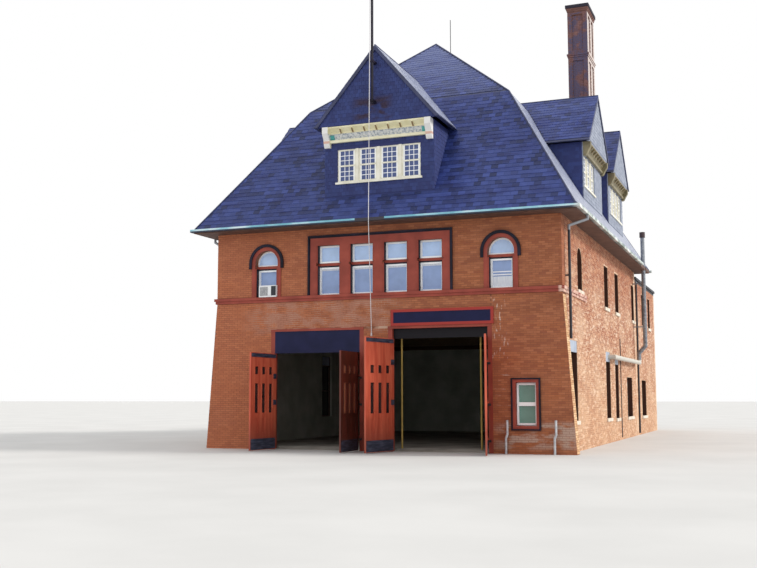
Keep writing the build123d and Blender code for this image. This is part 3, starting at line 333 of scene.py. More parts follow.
def blocks_on(planes, pitch, rise, length, height, depth, lift, tilt, seed):
    """Blocks in running bond over flat faces: one course a rise, cut to the face at its ends."""
    chance = random.Random(seed)
    blocks = []
    for normal, triangles in planes:
        across = Vector((0, 0, 1)).cross(normal).normalized()
        up = normal.cross(across)
        flat = [[(corner.dot(across), corner.dot(up)) for corner in triangle] for triangle in triangles]
        distance = triangles[0][0].dot(normal)
        turn = (math.asin(min(1.0, up.z)) - tilt, 0.0, math.atan2(across.y, across.x))
        bottom = min(v for triangle in flat for _, v in triangle)
        top = max(v for triangle in flat for _, v in triangle)
        first = math.ceil(bottom / rise - SUNK_START)
        for course in range(first, math.floor(top / rise) + 1):
            low = course * rise
            share = stretches(flat, low + rise * HELD_AT[0])
            for part in HELD_AT[1:]:
                share = common(share, stretches(flat, low + rise * part))
            for start, end in share:
                number = math.floor(start / pitch - 0.5)
                while True:
                    left = (number + 0.5 * (course % 2)) * pitch
                    number += 1
                    if left >= end:
                        break
                    right = min(left + length, end)
                    left = max(left, start)
                    if right - left < LEAST_CUT:
                        continue
                    middle = (across * ((left + right) / 2) + up * (low + height / 2)
                              + normal * (distance + lift))
                    blocks.append((middle, (right - left, height, depth), turn, chance.random()))
    return blocks


def bricks_on(planes, seed):
    """Bricks over flat faces, sunk a little into them."""
    return blocks_on(planes, BRICK_LENGTH + JOINT, COURSE, BRICK_LENGTH, BRICK_HEIGHT, BRICK_DEPTH,
                     -BRICK_SINK, 0.0, seed)


def toned(tree, codes):
    """The colour that each laid block's own tone picks from these codes."""
    return graded(tree, add(tree, "ShaderNodeAttribute", attribute_name="tone").outputs["Fac"], codes)


def rising(tree, place, axis, start, end, most=1.0):
    """0 before start, most past end and a slope between them, along one axis."""
    parts = add(tree, "ShaderNodeSeparateXYZ", {0: place})
    return add(tree, "ShaderNodeMapRange", {
        "Value": parts.outputs[axis], "From Min": start, "From Max": end, "To Max": most}).outputs[0]


# How much of a normal points the way that its face is said to look, and how far
# out the front wall's battered ends lie
FACING, BATTERED_END = 0.9, 6.4


def front_face(normal, place):
    """The street face and the battered ends of the front wall."""
    return normal.y < -FACING or abs(normal.x) > FACING and abs(place.x) > BATTERED_END


# Each stain: its box, its colour, the size of its blots and how much stays clean
PATCHED_SPANDREL = (-4.9, -14, 4.2), (0.6, -12.9, 5.35)
FRONT_STAINS = (((4.12, -14, 3.2), (4.65, -12.9, 5.2), "#e0d2c8", (0.07, 0.07, 0.22), 0.58),
                ((4.3, -14, 0.2), (7.0, -12.9, 1.0), "#b59b8c", (0.6, 0.6, 0.25), 0.44),
                ((4.2, -14, 1.2), (4.8, -12.9, 2.7), "#c9b2a2", (0.4, 0.4, 0.05), 0.62),
                (*PATCHED_SPANDREL, "#ab7560", (0.6, 0.6, 0.3), 0.44))
pressed_brick, tree, shader, place = fresh_material("pressed_orange_brick", 0.85)
smoked = patchy(tree, place, (2.2, 2.2, 0.9), ["#c9b4a6", "#ffffff", "#fff2dc"], 0.3, 0.6)
face = mixed(tree, 0.6, toned(tree, ["#94573d", "#9d5f40", "#a56544", "#ae6e4c"]), smoked, "MULTIPLY")
face = mixed(tree, rising(tree, place, "X", 2.0, -6.5, 0.4), face, "#c87654")
for stain in FRONT_STAINS:
    face = stained(tree, place, face, *stain)
# The battered right end's side face is laid in paler bricks as painted sunlight.
painted_sunlit_end = beyond(tree, place, (6.3, -12.99, -1), (8, -11.5, 5.4), 0.003)
face = mixed(tree, painted_sunlit_end, toned(tree, ["#bb8a62", "#d2a87c", "#e2c29a"]), face)
paint_shader(tree, shader, face)
roughened(tree, shader, place, 0.012, 0.002)

brown_mortar, tree, shader, place = fresh_material("brown_lime_mortar", 0.95)
joints = patchy(tree, place, 0.4, ["#7b4d39", "#8b5a44"])
joints = stained(tree, place, joints, *PATCHED_SPANDREL, "#c8a994", 0.5, 0.42)
paint_shader(tree, shader, joints)
roughened(tree, shader, place, 0.006, 0.002)
FRONT_WALLS = ("left_pier", "centre_pier", "right_pier", "front_spandrel_wall", "front_upper_wall")
dress(brown_mortar, *FRONT_WALLS)

front_blocks = []
for number, name in enumerate(FRONT_WALLS):
    front_blocks += bricks_on(faces_of(name, front_face), 10 + number)
lay("front_bricks", front_blocks, pressed_brick, BRICK_WAVER, 1)

# The side and rear walls: common brick laid the same way, its old limewash worn
# to pale runs and patches. The pale mottling is partly painted sunlight, paler
# low down, and the wall is darker and redder near the top as the eaves' painted shadow.

common_brick, tree, shader, place = fresh_material("common_brick_with_limewash_and_painted_sunlight", 0.9)
fired = toned(tree, ["#8c4c31", "#99573a", "#a56343", "#b4734f"])
# The pale patches stand partly for limewash and partly for painted sunlight.
patches = patchy(tree, place, (0.9, 1.8, 0.8), ["#303030", "#707070", "#b8b8b8"], 0.32, 0.68)
runs = patchy(tree, place, (0.12, 0.5, 0.10), ["#000000", "#000000", "#d0d0d0"], 0.40, 0.66)
flecks = toned(tree, ["#000000", "#000000", "#404040", "#a0a0a0"])
worn = mixed(tree, patches, fired, "#dcc0a4")
worn = mixed(tree, runs, worn, "#ecd8c2")
worn = mixed(tree, flecks, worn, "#e6ccae")
# Lower down the wall is painted paler as painted sunlight below the eaves' shadow.
worn = mixed(tree, rising(tree, place, "Z", 4.6, 1.0), worn, mixed(tree, 0.35, worn, "#dcb68e"))
# Near the top it is painted darker and redder as the eaves' painted shadow.
painted_eave_shadow = rising(tree, place, "Z", 5.2, 7.6)
paint_shader(tree, shader, mixed(tree, painted_eave_shadow, worn, mixed(tree, 0.25, fired, worn)))
roughened(tree, shader, place, 0.012, 0.002)

# Inside the wall's face the mortar is painted dark brown as painted shade in the reveals, and plaster lines
# the vehicle hall
pale_mortar, tree, shader, place = fresh_material("pale_lime_mortar", 0.95)
in_the_wall = beyond(tree, place, (-6.488, -20, -1), (6.488, 12.988, 20), SHARP)
indoors = beyond(tree, place, (-6.2, -12.7, -1), (6.2, 12.7, 4.3), SHARP)
inner = mixed(tree, indoors, patchy(tree, place, 0.8, ["#9a9e94", "#b4b7ae"]), "#4a2c22")
paint_shader(tree, shader, mixed(tree, in_the_wall, inner, patchy(tree, place, 0.4, ["#c39a7b", "#e2c9ae"])))
roughened(tree, shader, place, 0.006, 0.002)
dress(pale_mortar, "main_side_walls", "main_rear_wall", "wing_side_walls", "wing_rear_wall")


def outer(axis, side, least):
    """Picks the faces that look to this side along an axis, past this distance from the middle."""
    return lambda normal, place: side * normal[axis] > FACING and side * place[axis] > least


RIGHT, LEFT, REAR = outer(0, 1, 6.0), outer(0, -1, 6.0), outer(1, 1, 4.9)
for number, (name, node, side) in enumerate((
        ("right_wall_bricks", "main_side_walls", RIGHT), ("left_wall_bricks", "main_side_walls", LEFT),
        ("main_rear_bricks", "main_rear_wall", REAR), ("wing_right_bricks", "wing_side_walls", RIGHT),
        ("wing_left_bricks", "wing_side_walls", LEFT), ("wing_rear_bricks", "wing_rear_wall", REAR))):
    lay(name, bricks_on(faces_of(node, side), 20 + number), common_brick, BRICK_WAVER, number)

# The red trim: string course, flat window surrounds, transoms and bay frames of
# dressed stone and timber under one coat of dull red paint.

red_paint, tree, shader, place = fresh_material("dull_red_paint_on_stone", 0.6)
coat = patchy(tree, place, 0.6, ["#863425", "#933c2d", "#a04534"])
# The string course's return on the sunny side is painted pale pink as painted sunlight.
coat = stained(tree, place, coat, (6.4, -14, 5.2), (6.7, -8.7, 5.6), "#d8b3a2", 0.2, 0.4)
paint_shader(tree, shader, coat)
roughened(tree, shader, place, 0.02, 0.002)
dress(red_paint, "string_course", "front_window_surrounds", "bay_frames", "transom_bars")

# The navy trim: label mouldings round the front windows, the painted lining of
# their reveals, the closed panel over the left doors and the bare sign board.

DULL = {"Specular IOR Level": 0.2}
navy_paint, tree, shader, place = fresh_material("deep_navy_paint", 0.5, **DULL)
over_left_doors = beyond(tree, place, (-5, -14, 3.4), (0, -12, 4.3))
# Over the right doors the panel is painted near-black as painted shade under the lintel.
over_right_doors = beyond(tree, place, (0, -12.9, 3.8), (5, -12, 4.3))
dark = mixed(tree, over_right_doors, "#15131a", patchy(tree, place, 0.4, ["#16131f", "#1d1a28", "#252133"]))
panel = patchy(tree, place, 0.5, ["#171a3c", "#1d2045"])
paint_shader(tree, shader, mixed(tree, over_left_doors, panel, dark))
roughened(tree, shader, place, 0.02, 0.001)
dress(navy_paint, "front_mouldings", "bay_header_panels")

sign_paint, tree, shader, place = fresh_material("navy_sign_paint_in_a_red_border", 0.5, **DULL)
inside_border = beyond(tree, place, (0.565, -14, 4.43), (4.065, -12, 4.81))
field = patchy(tree, place, 0.4, ["#12153a", "#171a42"])
paint_shader(tree, shader, mixed(tree, inside_border, field, "#a23a34"))
dress(sign_paint, "sign_board")


def board(low, high, turn=(0, 0, 0), tone=0.5):
    """One block for lay, from its lowest to its highest corner."""
    centre = tuple((start + end) / 2 for start, end in zip(low, high))
    return centre, tuple(end - start for start, end in zip(low, high)), turn, tone


def spread(name):
    """Lowest and highest corner of each solid of a CAD node."""
    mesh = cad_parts[name].data
    home = {}
    group = list(range(len(mesh.vertices)))

    def root(corner):
        while group[corner] != corner:
            corner = group[corner]
        return corner

    for number, vertex in enumerate(mesh.vertices):
        key = tuple(round(part, 4) for part in vertex.co)
        group[number] = root(home.setdefault(key, number))
    for face in mesh.polygons:
        first = root(face.vertices[0])
        for corner in face.vertices[1:]:
            group[root(corner)] = first
    solids = {}
    for number, vertex in enumerate(mesh.vertices):
        solids.setdefault(root(number), []).append(vertex.co)
    return [(Vector(map(min, zip(*corners))), Vector(map(max, zip(*corners))))
            for corners in solids.values()]


# Depths from the street: the face of the sashes' frames, and the fronts of the linings
SASH_FACE, ARCHITRAVE_FRONT, LINING_FRONT, HEAD_FRONT = -12.8, -13.03, -12.995, -12.88
LINING, ARCHITRAVE, HEAD_LINING = 0.02, 0.05, 0.05
UPPER_STOREY, LONG_SASH_HEAD, PANEL_REACH = 5, 6.6, 3
linings, architraves = [], []
for low, high in spread("front_sashes"):
    if low.z > UPPER_STOREY and (high.z < LONG_SASH_HEAD or abs(low.x) < PANEL_REACH):
        for edge, inward in ((low.x, 1), (high.x, -1)):
            inner, far = edge + inward * ARCHITRAVE, edge + inward * (ARCHITRAVE + LINING)
            architraves.append(board((min(edge, inner), ARCHITRAVE_FRONT, low.z),
                                     (max(edge, inner), SASH_FACE, high.z)))
            linings.append(board((min(inner, far), LINING_FRONT, low.z),
                                 (max(inner, far), SASH_FACE, high.z)))
        if high.z < LONG_SASH_HEAD:
            linings.append(board((low.x, HEAD_FRONT, high.z - HEAD_LINING), (high.x, SASH_FACE, high.z)))
lay("reveal_linings", linings, navy_paint, 0.0, 2)
lay("inner_architraves", architraves, red_paint, 0.0, 13)

# The pale trim: stone sills under the side and rear windows and sheet panels over
# the ground-floor ones. The wing's coping and flat roof are tarred.

painted("weathered_pale_stone", 0.85, 0.3, ["#cabfae", "#ddd3c4", "#e8dfd2"], ["window_sills"],
        (0.01, 0.002))
pale_sheet = painted("pale_grey_painted_sheet", 0.55, 0.3, ["#98a3b6", "#aab5c6"], ["infill_panels"],
                     (0.15, 0.003))
SHEET_PLACE, SHEET_THICK = {1: 6.46, -1: -6.49}, 0.03
facings = []
for low, high in spread("infill_panels"):
    edge = SHEET_PLACE[1 if low.x > 0 else -1]
    facings.append(board((edge, low.y, low.z), (edge + SHEET_THICK, high.y, high.z)))
lay("infill_facings", facings, pale_sheet, 0.0, 14)
painted("tarred_coping", 0.7, 0.4, ["#23242d", "#33343d"], ["wing_coping", "wing_roof"], (0.03, 0.003))

# The windows: white sashes and storm frames at the front, dull ones at the sides.
# The front and dormer panes carry painted reflections that go by storey: green-grey
# at the ground, pale sky blue above, dark blue under the roof.

white_paint = painted("white_gloss_paint_on_wood", 0.4, 0.25, ["#f4f7fc", "#fbfdff"], ["front_sashes"])
painted("chalky_paint_on_side_sashes", 0.7, 0.2, ["#4f423c", "#6d5d53"], ["side_and_rear_sashes"])


def past(tree, place, axis, limit, side="GREATER_THAN"):
    """1 past a limit along one axis and 0 before it."""
    parts = add(tree, "ShaderNodeSeparateXYZ", {0: place})
    return add(tree, "ShaderNodeMath", {0: parts.outputs[axis], 1: limit}, operation=side).outputs[0]


UNDER_THE_ROOF, HIGHEST_PANE = 9.0, 12.0
# The pane colours are painted reflections, set by height.
window_pane, tree, shader, place = fresh_material("glass_with_painted_reflections", 0.12)
ramp = add(tree, "ShaderNodeValToRGB", {"Fac": rising(tree, place, "Z", 0.0, HIGHEST_PANE)})
ramp.color_ramp.interpolation = "CONSTANT"
stops = ramp.color_ramp.elements
for height, code in ((3.6, "#94abd8"), (6.66, "#bdd8ff"), (UNDER_THE_ROOF, "#4a5a8c")):
    stops.new(height / HIGHEST_PANE).color = linear(code)
stops[0].color = linear("#6d9386")
stops[-1].color = linear("#4a5a8c")
mirrored = mixed(tree, 0.5, ramp.outputs[0], patchy(tree, place, 0.4, ["#dcdcdc", "#ffffff"]), "MULTIPLY")
street = past(tree, place, "Y", -12.5, "LESS_THAN")
shown = add(tree, "ShaderNodeMath", {0: street, 1: past(tree, place, "Z", UNDER_THE_ROOF)},
            operation="MAXIMUM").outputs[0]
paint_shader(tree, shader, mixed(tree, shown, "#2a2228", mirrored))
dress(window_pane, "window_glass")


def surround(left, right, foot, head, front, back, width):
    """Four boards round a hole, the upright ones past its foot and head."""
    return [board((left - width, front, foot - width), (left, back, head + width)),
            board((right, front, foot - width), (right + width, back, head + width)),
            board((left, front, foot - width), (right, back, foot)),
            board((left, front, head), (right, back, head + width))]


blind_cloth = painted("white_roller_blind_cloth", 0.9, (0.02, 0.02, 0.3), ["#d3dae6", "#e8ecf2"])
GLASS_FACE, BLIND_FRONT, STORM_FRONT, GLASS_LIMIT = -12.775, -12.779, -12.86, -12.7
STORM_FRAME, RAIL_HEIGHT = 0.06, 0.035
BLIND_DROP, LOWER_BLIND = 0.11, 0.36
GROUND_STOREY, FANLIGHT_FOOT = 3, 6.7
UPPER_GLASS_FOOT, RAIL_FEET = (5.4, 6.0), (0.40, 0.50)
blinds, bars = [], []
for low, high in spread("window_glass"):
    if low.y > GLASS_LIMIT:
        continue
    upstairs = low.z > GROUND_STOREY
    if low.z < UNDER_THE_ROOF and (low.z < FANLIGHT_FOOT or abs(low.x) < PANEL_REACH):
        # How far the frame lies inside the glass, below it and above it
        inside, below = (0.015, 0.05) if upstairs else (-0.05, 0.027)
        above = 0.027 if not upstairs else 0.003 if low.z < LONG_SASH_HEAD else 0.05
        margin, foot, head = STORM_FRAME + inside, low.z - below + STORM_FRAME, high.z + above - STORM_FRAME
        bars += surround(low.x + margin, high.x - margin, foot, head, STORM_FRONT, GLASS_FACE, STORM_FRAME)
    if not UPPER_GLASS_FOOT[0] < low.z < UPPER_GLASS_FOOT[1]:
        continue
    if abs(low.x) < PANEL_REACH:
        blinds.append(board((low.x, BLIND_FRONT, high.z - BLIND_DROP), (high.x, GLASS_FACE, high.z)))
    elif low.x > PANEL_REACH:
        blinds.append(board((low.x, BLIND_FRONT, low.z), (high.x, GLASS_FACE, low.z + LOWER_BLIND)))
        for rail in RAIL_FEET:
            bars.append(board((low.x, SASH_FACE, low.z + rail),
                              (high.x, GLASS_FACE, low.z + rail + RAIL_HEIGHT)))
lay("roller_blinds", blinds, blind_cloth, 0.0, 3)
lay("sash_beads_and_rails", bars, white_paint, 0.0, 4)

# The air conditioner in the left arched window: a white pressed case, louvred
# at the left and with its dark coil bare at the right.

case_paint = painted("white_baked_enamel", 0.35, 0.15, ["#dcdee2", "#eceef0"], ["window_air_conditioner"])
dark_coil = painted("dark_fins", 0.6, (0.01, 0.01, 0.3), ["#17181f", "#34363f"])
COIL_PROUD, COIL_LEFT, COIL_RIGHT, COIL_TOP = 0.004, 0.50, 0.02, 0.03
LOUVRE_LEFT, LOUVRE_RIGHT, LOUVRE_TOP, LOWER_RIM = 0.04, 0.36, 0.06, 0.05
SLAT_COUNT, SLAT_LEFT, SLAT_PITCH, SLAT, SLAT_PROUD = 10, 0.05, 0.032, 0.012, 0.012
low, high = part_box("window_air_conditioner")
front, foot, top = low[1] - COIL_PROUD, low[2] + LOWER_RIM, high[2] - LOUVRE_TOP
fins = [board((low[0] + COIL_LEFT, front, foot), (high[0] - COIL_RIGHT, low[1], high[2] - COIL_TOP)),
        board((low[0] + LOUVRE_LEFT, front, foot), (low[0] + LOUVRE_RIGHT, low[1], top))]
lay("conditioner_coil", fins, dark_coil, 0.0, 5)
slats = []
for number in range(SLAT_COUNT):
    left = low[0] + SLAT_LEFT + SLAT_PITCH * number
    slats.append(board((left, low[1] - SLAT_PROUD, foot), (left + SLAT, front, top)))
lay("conditioner_louvres", slats, case_paint, 0.0, 6)

# The doors: framed and panelled wooden leaves in orange-red paint, each with
# three square lights over three slots, beads round them and a dark kick plate.
# The left bay's right leaf is painted dark brown as painted shade.

PAINTED_SHADE_LEAF = (-0.9, -15, 0), (-0.6, -13.01, 4)
door_paint, tree, shader, place = fresh_material("orange_red_door_paint", 0.5)
coat = patchy(tree, place, (0.15, 0.15, 1.2), ["#bd4e37", "#cc5c42", "#d6684c"])
coat = mixed(tree, rising(tree, place, "Z", 0.4, 1.3), mixed(tree, 0.5, coat, "#4a2a22"), coat)
# That leaf's paint is darkened to brown as painted shade.
brown = patchy(tree, place, (0.2, 0.2, 0.9), ["#4c2018", "#6b2c20"])
paint_shader(tree, shader, mixed(tree, beyond(tree, place, *PAINTED_SHADE_LEAF), brown, coat))
roughened(tree, shader, place, 0.05, 0.001)
# Each leaf: where its pin stands, its width, its top and how far it is open in degrees
DOORS = {"left_bay_left_door": (-4.065, 1.656, 3.445, 95), "left_bay_right_door": (-0.725, 1.656, 3.445, 92),
         "right_bay_left_door": (0.508, 1.701, 3.89, 103), "right_bay_right_door": (3.938, 1.701, 3.89, 105)}
PIN_LINE = -13.04
dress(door_paint, *DOORS)

painted("black_painted_iron", 0.5, 0.1, ["#17181d", "#26272e"], ["hinge_pintles", "lightning_rod"])
kick_sheet = painted("scuffed_dark_kick_plate", 0.6, (0.4, 0.4, 0.06), ["#1f2030", "#33364a", "#4a4d60"])

door_pane, tree, shader, place = fresh_material("dusty_door_glass", 0.15)
dusty = patchy(tree, place, 0.4, ["#2a1f22", "#432f2d"])
paint_shader(tree, shader, mixed(tree, beyond(tree, place, *PAINTED_SHADE_LEAF), "#b8795c", dusty))


def leaf_boards(door, boards):
    """Boards measured on a closed leaf from its pin, turned and moved to where that leaf stands."""
    edge, _, _, angle = DOORS[door]
    mirrored = -1 if door.endswith("right_door") else 1
    turn = Matrix.Rotation(-math.radians(angle), 3, "Z")
    placed = []
    for centre, size, _, tone in boards:
        spot = turn @ Vector(centre)
        placed.append(((edge + mirrored * spot.x, spot.y + PIN_LINE, spot.z), size,
                       (0, 0, -mirrored * math.radians(angle)), tone))
    return placed


LEAF_FRONT, LEAF_BACK, LEAF_GAP = 0.030, 0.090, 0.008
LIGHT_COLUMNS, HALF_LIGHT, LIGHT_ROWS = (0.225, 0.5, 0.775), 0.1075, ((2.68, 0.27), (1.33, 1.03))
PANE_FRONT, PANE_BACK = 0.056, 0.064
BEAD, BEAD_PROUD = 0.018, 0.006
KICK_EDGE, KICK_FOOT, KICK_TOP, KICK_PROUD, FREE_EDGE = 0.05, 0.05, 0.43, 0.003, 0.02
PLATE_FOOT, PLATE_TOP, PLATE_THICK = 0.16, 0.03, 0.02
UPPER_HINGE_DROP, LOWER_HINGE_HEIGHT, HINGE_HALF = 0.82, 1.69, 0.09
HINGE_NEAR, HINGE_FAR, HINGE_THICK = 0.02, 0.20, 0.025
for number, (door, (_, width, top, _)) in enumerate(DOORS.items()):
    beads, panes = [], []
    for share in LIGHT_COLUMNS:
        middle = LEAF_GAP + share * width
        left, right = middle - HALF_LIGHT, middle + HALF_LIGHT
        for foot, height in LIGHT_ROWS:
            panes.append(board((left, PANE_FRONT, foot), (right, PANE_BACK, foot + height)))
            for front, back in ((LEAF_FRONT - BEAD_PROUD, LEAF_FRONT), (LEAF_BACK, LEAF_BACK + BEAD_PROUD)):
                beads += surround(left, right, foot, foot + height, front, back, BEAD)
    plates = [board((KICK_EDGE, front, KICK_FOOT), (width - FREE_EDGE, back, KICK_TOP))
              for front, back in ((LEAF_FRONT - KICK_PROUD, LEAF_FRONT), (LEAF_BACK, LEAF_BACK + KICK_PROUD))]
    plates.append(board((KICK_EDGE, LEAF_BACK, top - PLATE_FOOT),
                        (width - FREE_EDGE, LEAF_BACK + PLATE_THICK, top - PLATE_TOP)))
    for height in (top - UPPER_HINGE_DROP, LOWER_HINGE_HEIGHT):
        plates.append(board((HINGE_NEAR, LEAF_BACK, height - HINGE_HALF),
                            (HINGE_FAR, LEAF_BACK + HINGE_THICK, height + HINGE_HALF)))
    lay(door + "_beads", leaf_boards(door, beads), door_paint, 0.0, number, door)
    lay(door + "_panes", leaf_boards(door, panes), door_pane, 0.0, number, door)
    lay(door + "_plates", leaf_boards(door, plates), kick_sheet, 0.0, number, door)

painted("worn_yellow_paint", 0.5, 0.1, ["#8a7233", "#a58b42"], ["guard_posts"])

# The roofs: blue slates over all slopes, in courses streaked by weather and
# painted pale on the sunny slopes as painted sunlight and sheen, over a dull
# sheet that also makes the rolls along the hips and ridges.

ROOFS = ("lower_roof_ends", "lower_roof_sides", "upper_roof", "dormer_roofs")
lead_sheet = painted("dull_lead_sheet", 0.6, 0.5, ["#333854", "#40466a"], ROOFS)

roof_slate, tree, shader, place = fresh_material("blue_roof_slate", 0.5, **{"Specular IOR Level": 0.35})
split = toned(tree, ["#1d2854", "#2b3870", "#2f3e79", "#334280", "#3a4a8c"])
split = mixed(tree, rising(tree, place, "Z", 12.5, 16.5), split, "#626d9a")
streaks = patchy(tree, place, (1.1, 1.1, 0.17), ["#8088c0", "#ffffff"], 0.36, 0.54)
paint_shader(tree, shader, mixed(tree, 0.55, split, streaks, "MULTIPLY"))
roughened(tree, shader, place, 0.05, 0.003)

# Pale slates for the sunny slopes: painted sunlight and sheen.
painted_sunlit_slate, tree, shader, place = fresh_material("slate_painted_sunlit", 0.3)
paint_shader(tree, shader, toned(tree, ["#969db4", "#a2a9be", "#aeb4c8"]))
roughened(tree, shader, place, 0.05, 0.0006)

# A slope's normal points up more than a wall's and less than a flat roof's. Past
# this part of it along x, the slope lies in the sun
WALL_LIKE, NEARLY_FLAT, SUNNY = 0.15, 0.97, 0.3


def roof_slope(sunny):
    """Picks the roof slopes that lie in the sun, or the others."""
    return lambda normal, place: WALL_LIKE < normal.z < NEARLY_FLAT and (normal.x > SUNNY) == sunny


SLATE_WIDTH, SLATE_EXPOSURE, SLATE_LAP, SLATE_THICK = 0.25, 0.20, 0.04, 0.008
SLATE_GAP, SLATE_LIFT, SLATE_TILT, WAVER = 0.004, 0.008, 0.04, 0.001
for number, node in enumerate(ROOFS):
    for label, sunny, finish in (("_slates", False, roof_slate), ("_slates_painted_sunlit", True, painted_sunlit_slate)):
        blocks = blocks_on(faces_of(node, roof_slope(sunny)), SLATE_WIDTH, SLATE_EXPOSURE,
                           SLATE_WIDTH - SLATE_GAP, SLATE_EXPOSURE + SLATE_LAP, SLATE_THICK, SLATE_LIFT,
                           SLATE_TILT, 30 + number)
        if blocks:
            lay(node + label, blocks, finish, WAVER, number)


def rod_between(start, end, radius, sides=6):
    """Corners and faces of a closed straight bar."""
    start, end = Vector(start), Vector(end)
    turn = (end - start).to_track_quat("Z", "Y")
    ring = [turn @ Vector((radius * math.cos(2 * math.pi * step / sides),
                           radius * math.sin(2 * math.pi * step / sides), 0)) for step in range(sides)]
    corners = [start + spot for spot in ring] + [end + spot for spot in ring]
    faces = [(step, (step + 1) % sides, (step + 1) % sides + sides, step + sides) for step in range(sides)]
    return corners, faces + [tuple(reversed(range(sides))), tuple(range(sides, 2 * sides))]


def rods(name, bars, material):
    """One piece of straight bars, each given as start, end, radius and number of sides."""
    corners, faces = [], []
    for bar in bars:
        more, ends = rod_between(*bar)
        faces += [tuple(corner + len(corners) for corner in face) for face in ends]
        corners += more
    mesh = bpy.data.meshes.new(name)
    mesh.from_pydata(corners, [], faces)
    mesh.materials.append(material)
    piece = linked(name, mesh)
    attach(piece, "building")


# Each end of the roof, along y: its eave, the knee of its slope and its peak
ROLL = 0.03
ENDS = ((-13.65, -10.08, -6.27), (5.65, 2.08, -1.73))
EAVE_AT, KNEE_AT, PEAK_AT = (7.13, 8.12), (4.08, 13.21), (0, 16.77)
hips = []
for side in (-1, 1):
    for eave, knee, peak in ENDS:
        corner, bend, tip = ((side * out, depth, height) for (out, height), depth in
                             zip((EAVE_AT, KNEE_AT, PEAK_AT), (eave, knee, peak)))
        hips += [(corner, bend, ROLL), (bend, tip, ROLL)]
hips.append(((0, ENDS[0][2], PEAK_AT[1]), (0, ENDS[1][2], PEAK_AT[1]), ROLL))
rods("hip_and_ridge_rolls", hips, lead_sheet)

painted("dark_soffit_boards", 0.7, 0.3, ["#53382e", "#66493d"], ["soffit"])

# The dormers: walls and gables hung with navy-painted shingles, painted pale grey
# on the side dormers' fronts as painted sunlight, rust-stained under the flagpole.

wall_shingle, tree, shader, place = fresh_material("navy_painted_shingle", 0.7)
coat = toned(tree, ["#222c63", "#27346b", "#2c3b76"])
coat = stained(tree, place, coat, (-0.75, -14, 11.75), (0.55, -13, 12.5), "#2c1d3a", (0.5, 0.5, 0.25), 0.42)
# The side dormers' fronts are painted pale grey as painted sunlight.
chalky = toned(tree, ["#7f879a", "#8d95a7", "#99a1b2"])
side_front = beyond(tree, place, (-6.47, -20, 0), (6.47, 20, 20), SHARP)
paint_shader(tree, shader, mixed(tree, side_front, coat, chalky))
roughened(tree, shader, place, 0.03, 0.002)


# How far a wall's normal may lean, and where the chimney's cap starts
LEAN, CAP_FOOT = 0.2, 18.2


def upright(normal, place):
    """Walls, and the faces of the chimney under its cap."""
    return abs(normal.z) < LEAN and place.z < CAP_FOOT


SHINGLE_PITCH, SHINGLE_EXPOSURE, SHINGLE_WIDTH, SHINGLE_HEIGHT = 0.15, 0.14, 0.144, 0.16
SHINGLE_THICK, SHINGLE_LIFT, SHINGLE_TILT = 0.010, 0.004, 0.05
for number, node in enumerate(("dormer_walls", "dormer_gables")):
    dress(wall_shingle, node)
    shingles = blocks_on(faces_of(node, upright), SHINGLE_PITCH, SHINGLE_EXPOSURE, SHINGLE_WIDTH,
                         SHINGLE_HEIGHT, SHINGLE_THICK, SHINGLE_LIFT, SHINGLE_TILT, 40 + number)
    lay(node + "_shingles", shingles, wall_shingle, WAVER, number)

painted("cream_gloss_paint_on_wood", 0.5, 0.3, ["#dedbca", "#eae7d8", "#f1efe3"], ["dormer_windows"])


def bar_on(low, high, axis, start, end, through, proud):
    """A bar over a pane: from start to end on one axis, and proud of both faces through it."""
    low, high = low.copy(), high.copy()
    low[axis], high[axis] = start, end
    low[through] -= proud
    high[through] += proud
    return board(low, high)


GLAZING_BAR, STILE, CLEAR = 0.022, 0.05, 0.002
bars = []
for low, high in spread("window_glass"):
    if low.z < UNDER_THE_ROOF:
        continue
    along, through, proud = (0, 1, 0.012) if high.x - low.x > 0.1 else (1, 0, 0.004)
    for edge in (low[along], high[along] - STILE):
        bars.append(bar_on(low, high, along, edge, edge + STILE, through, proud + CLEAR))
    low[along] += STILE
    high[along] -= STILE
    for step in (1, 2):
        for axis, stand in ((along, proud), (2, proud - CLEAR)):
            middle = low[axis] + (high[axis] - low[axis]) * step / 3
            start, end = middle - GLAZING_BAR / 2, middle + GLAZING_BAR / 2
            bars.append(bar_on(low, high, axis, start, end, through, stand))
lay("dormer_glazing_bars", bars, white_paint, 0.0, 8)

# The dormer cornices: cream coffers between brown ribs, and on the front one a
# carved frieze in the cove with green ends, and white consoles that stand on a
# pink foot. The side ones have weathered to olive.

cornice_paint, tree, shader, place = fresh_material("cornice_paint_in_five_colours", 0.55)
coffer = patchy(tree, place, 0.3, ["#dcd5ac", "#e8e2c0"])
moulding = patchy(tree, place, 0.3, ["#e0dcbc", "#ebe7cc"])
cove = patchy(tree, place, 0.08, ["#8f99a6", "#c3c8cc", "#dcdcd8"], 0.4, 0.6)
face = mixed(tree, past(tree, place, "Z", 11.15, "LESS_THAN"), cove, moulding)
face = mixed(tree, past(tree, place, "Z", 11.36), face, coffer)
pink = beyond(tree, place, (-3, -15, 11.03), (3, -12, 11.12))
console = mixed(tree, pink, "#d9b3a2", "#e6e6e4")
face = mixed(tree, beyond(tree, place, (-1.842, -15, 10), (1.842, -12, 13), SHARP), face, console)
olive = patchy(tree, place, 0.3, ["#6a6248", "#8a8062"])
face = mixed(tree, beyond(tree, place, (-6.4, -20, 0), (6.4, 20, 20), SHARP), face, olive)
paint_shader(tree, shader, face)
dress(cornice_paint, "dormer_cornices")

rib_paint = painted("brown_rib_paint", 0.6, 0.1, ["#7a6244", "#947955"])
carving = painted("pale_carved_plaster", 0.7, 0.1, ["#b9bfc6", "#dfe0dc"])
green_end = painted("sea_green_paint", 0.5, 0.1, ["#3f9a9a", "#58b0ac"])


def facing(across, up):
    """Euler angles of a block whose length lies across and whose height points up."""
    across, up = Vector(across).normalized(), Vector(up).normalized()
    return tuple(Matrix((across, up, across.cross(up))).transposed().to_euler())


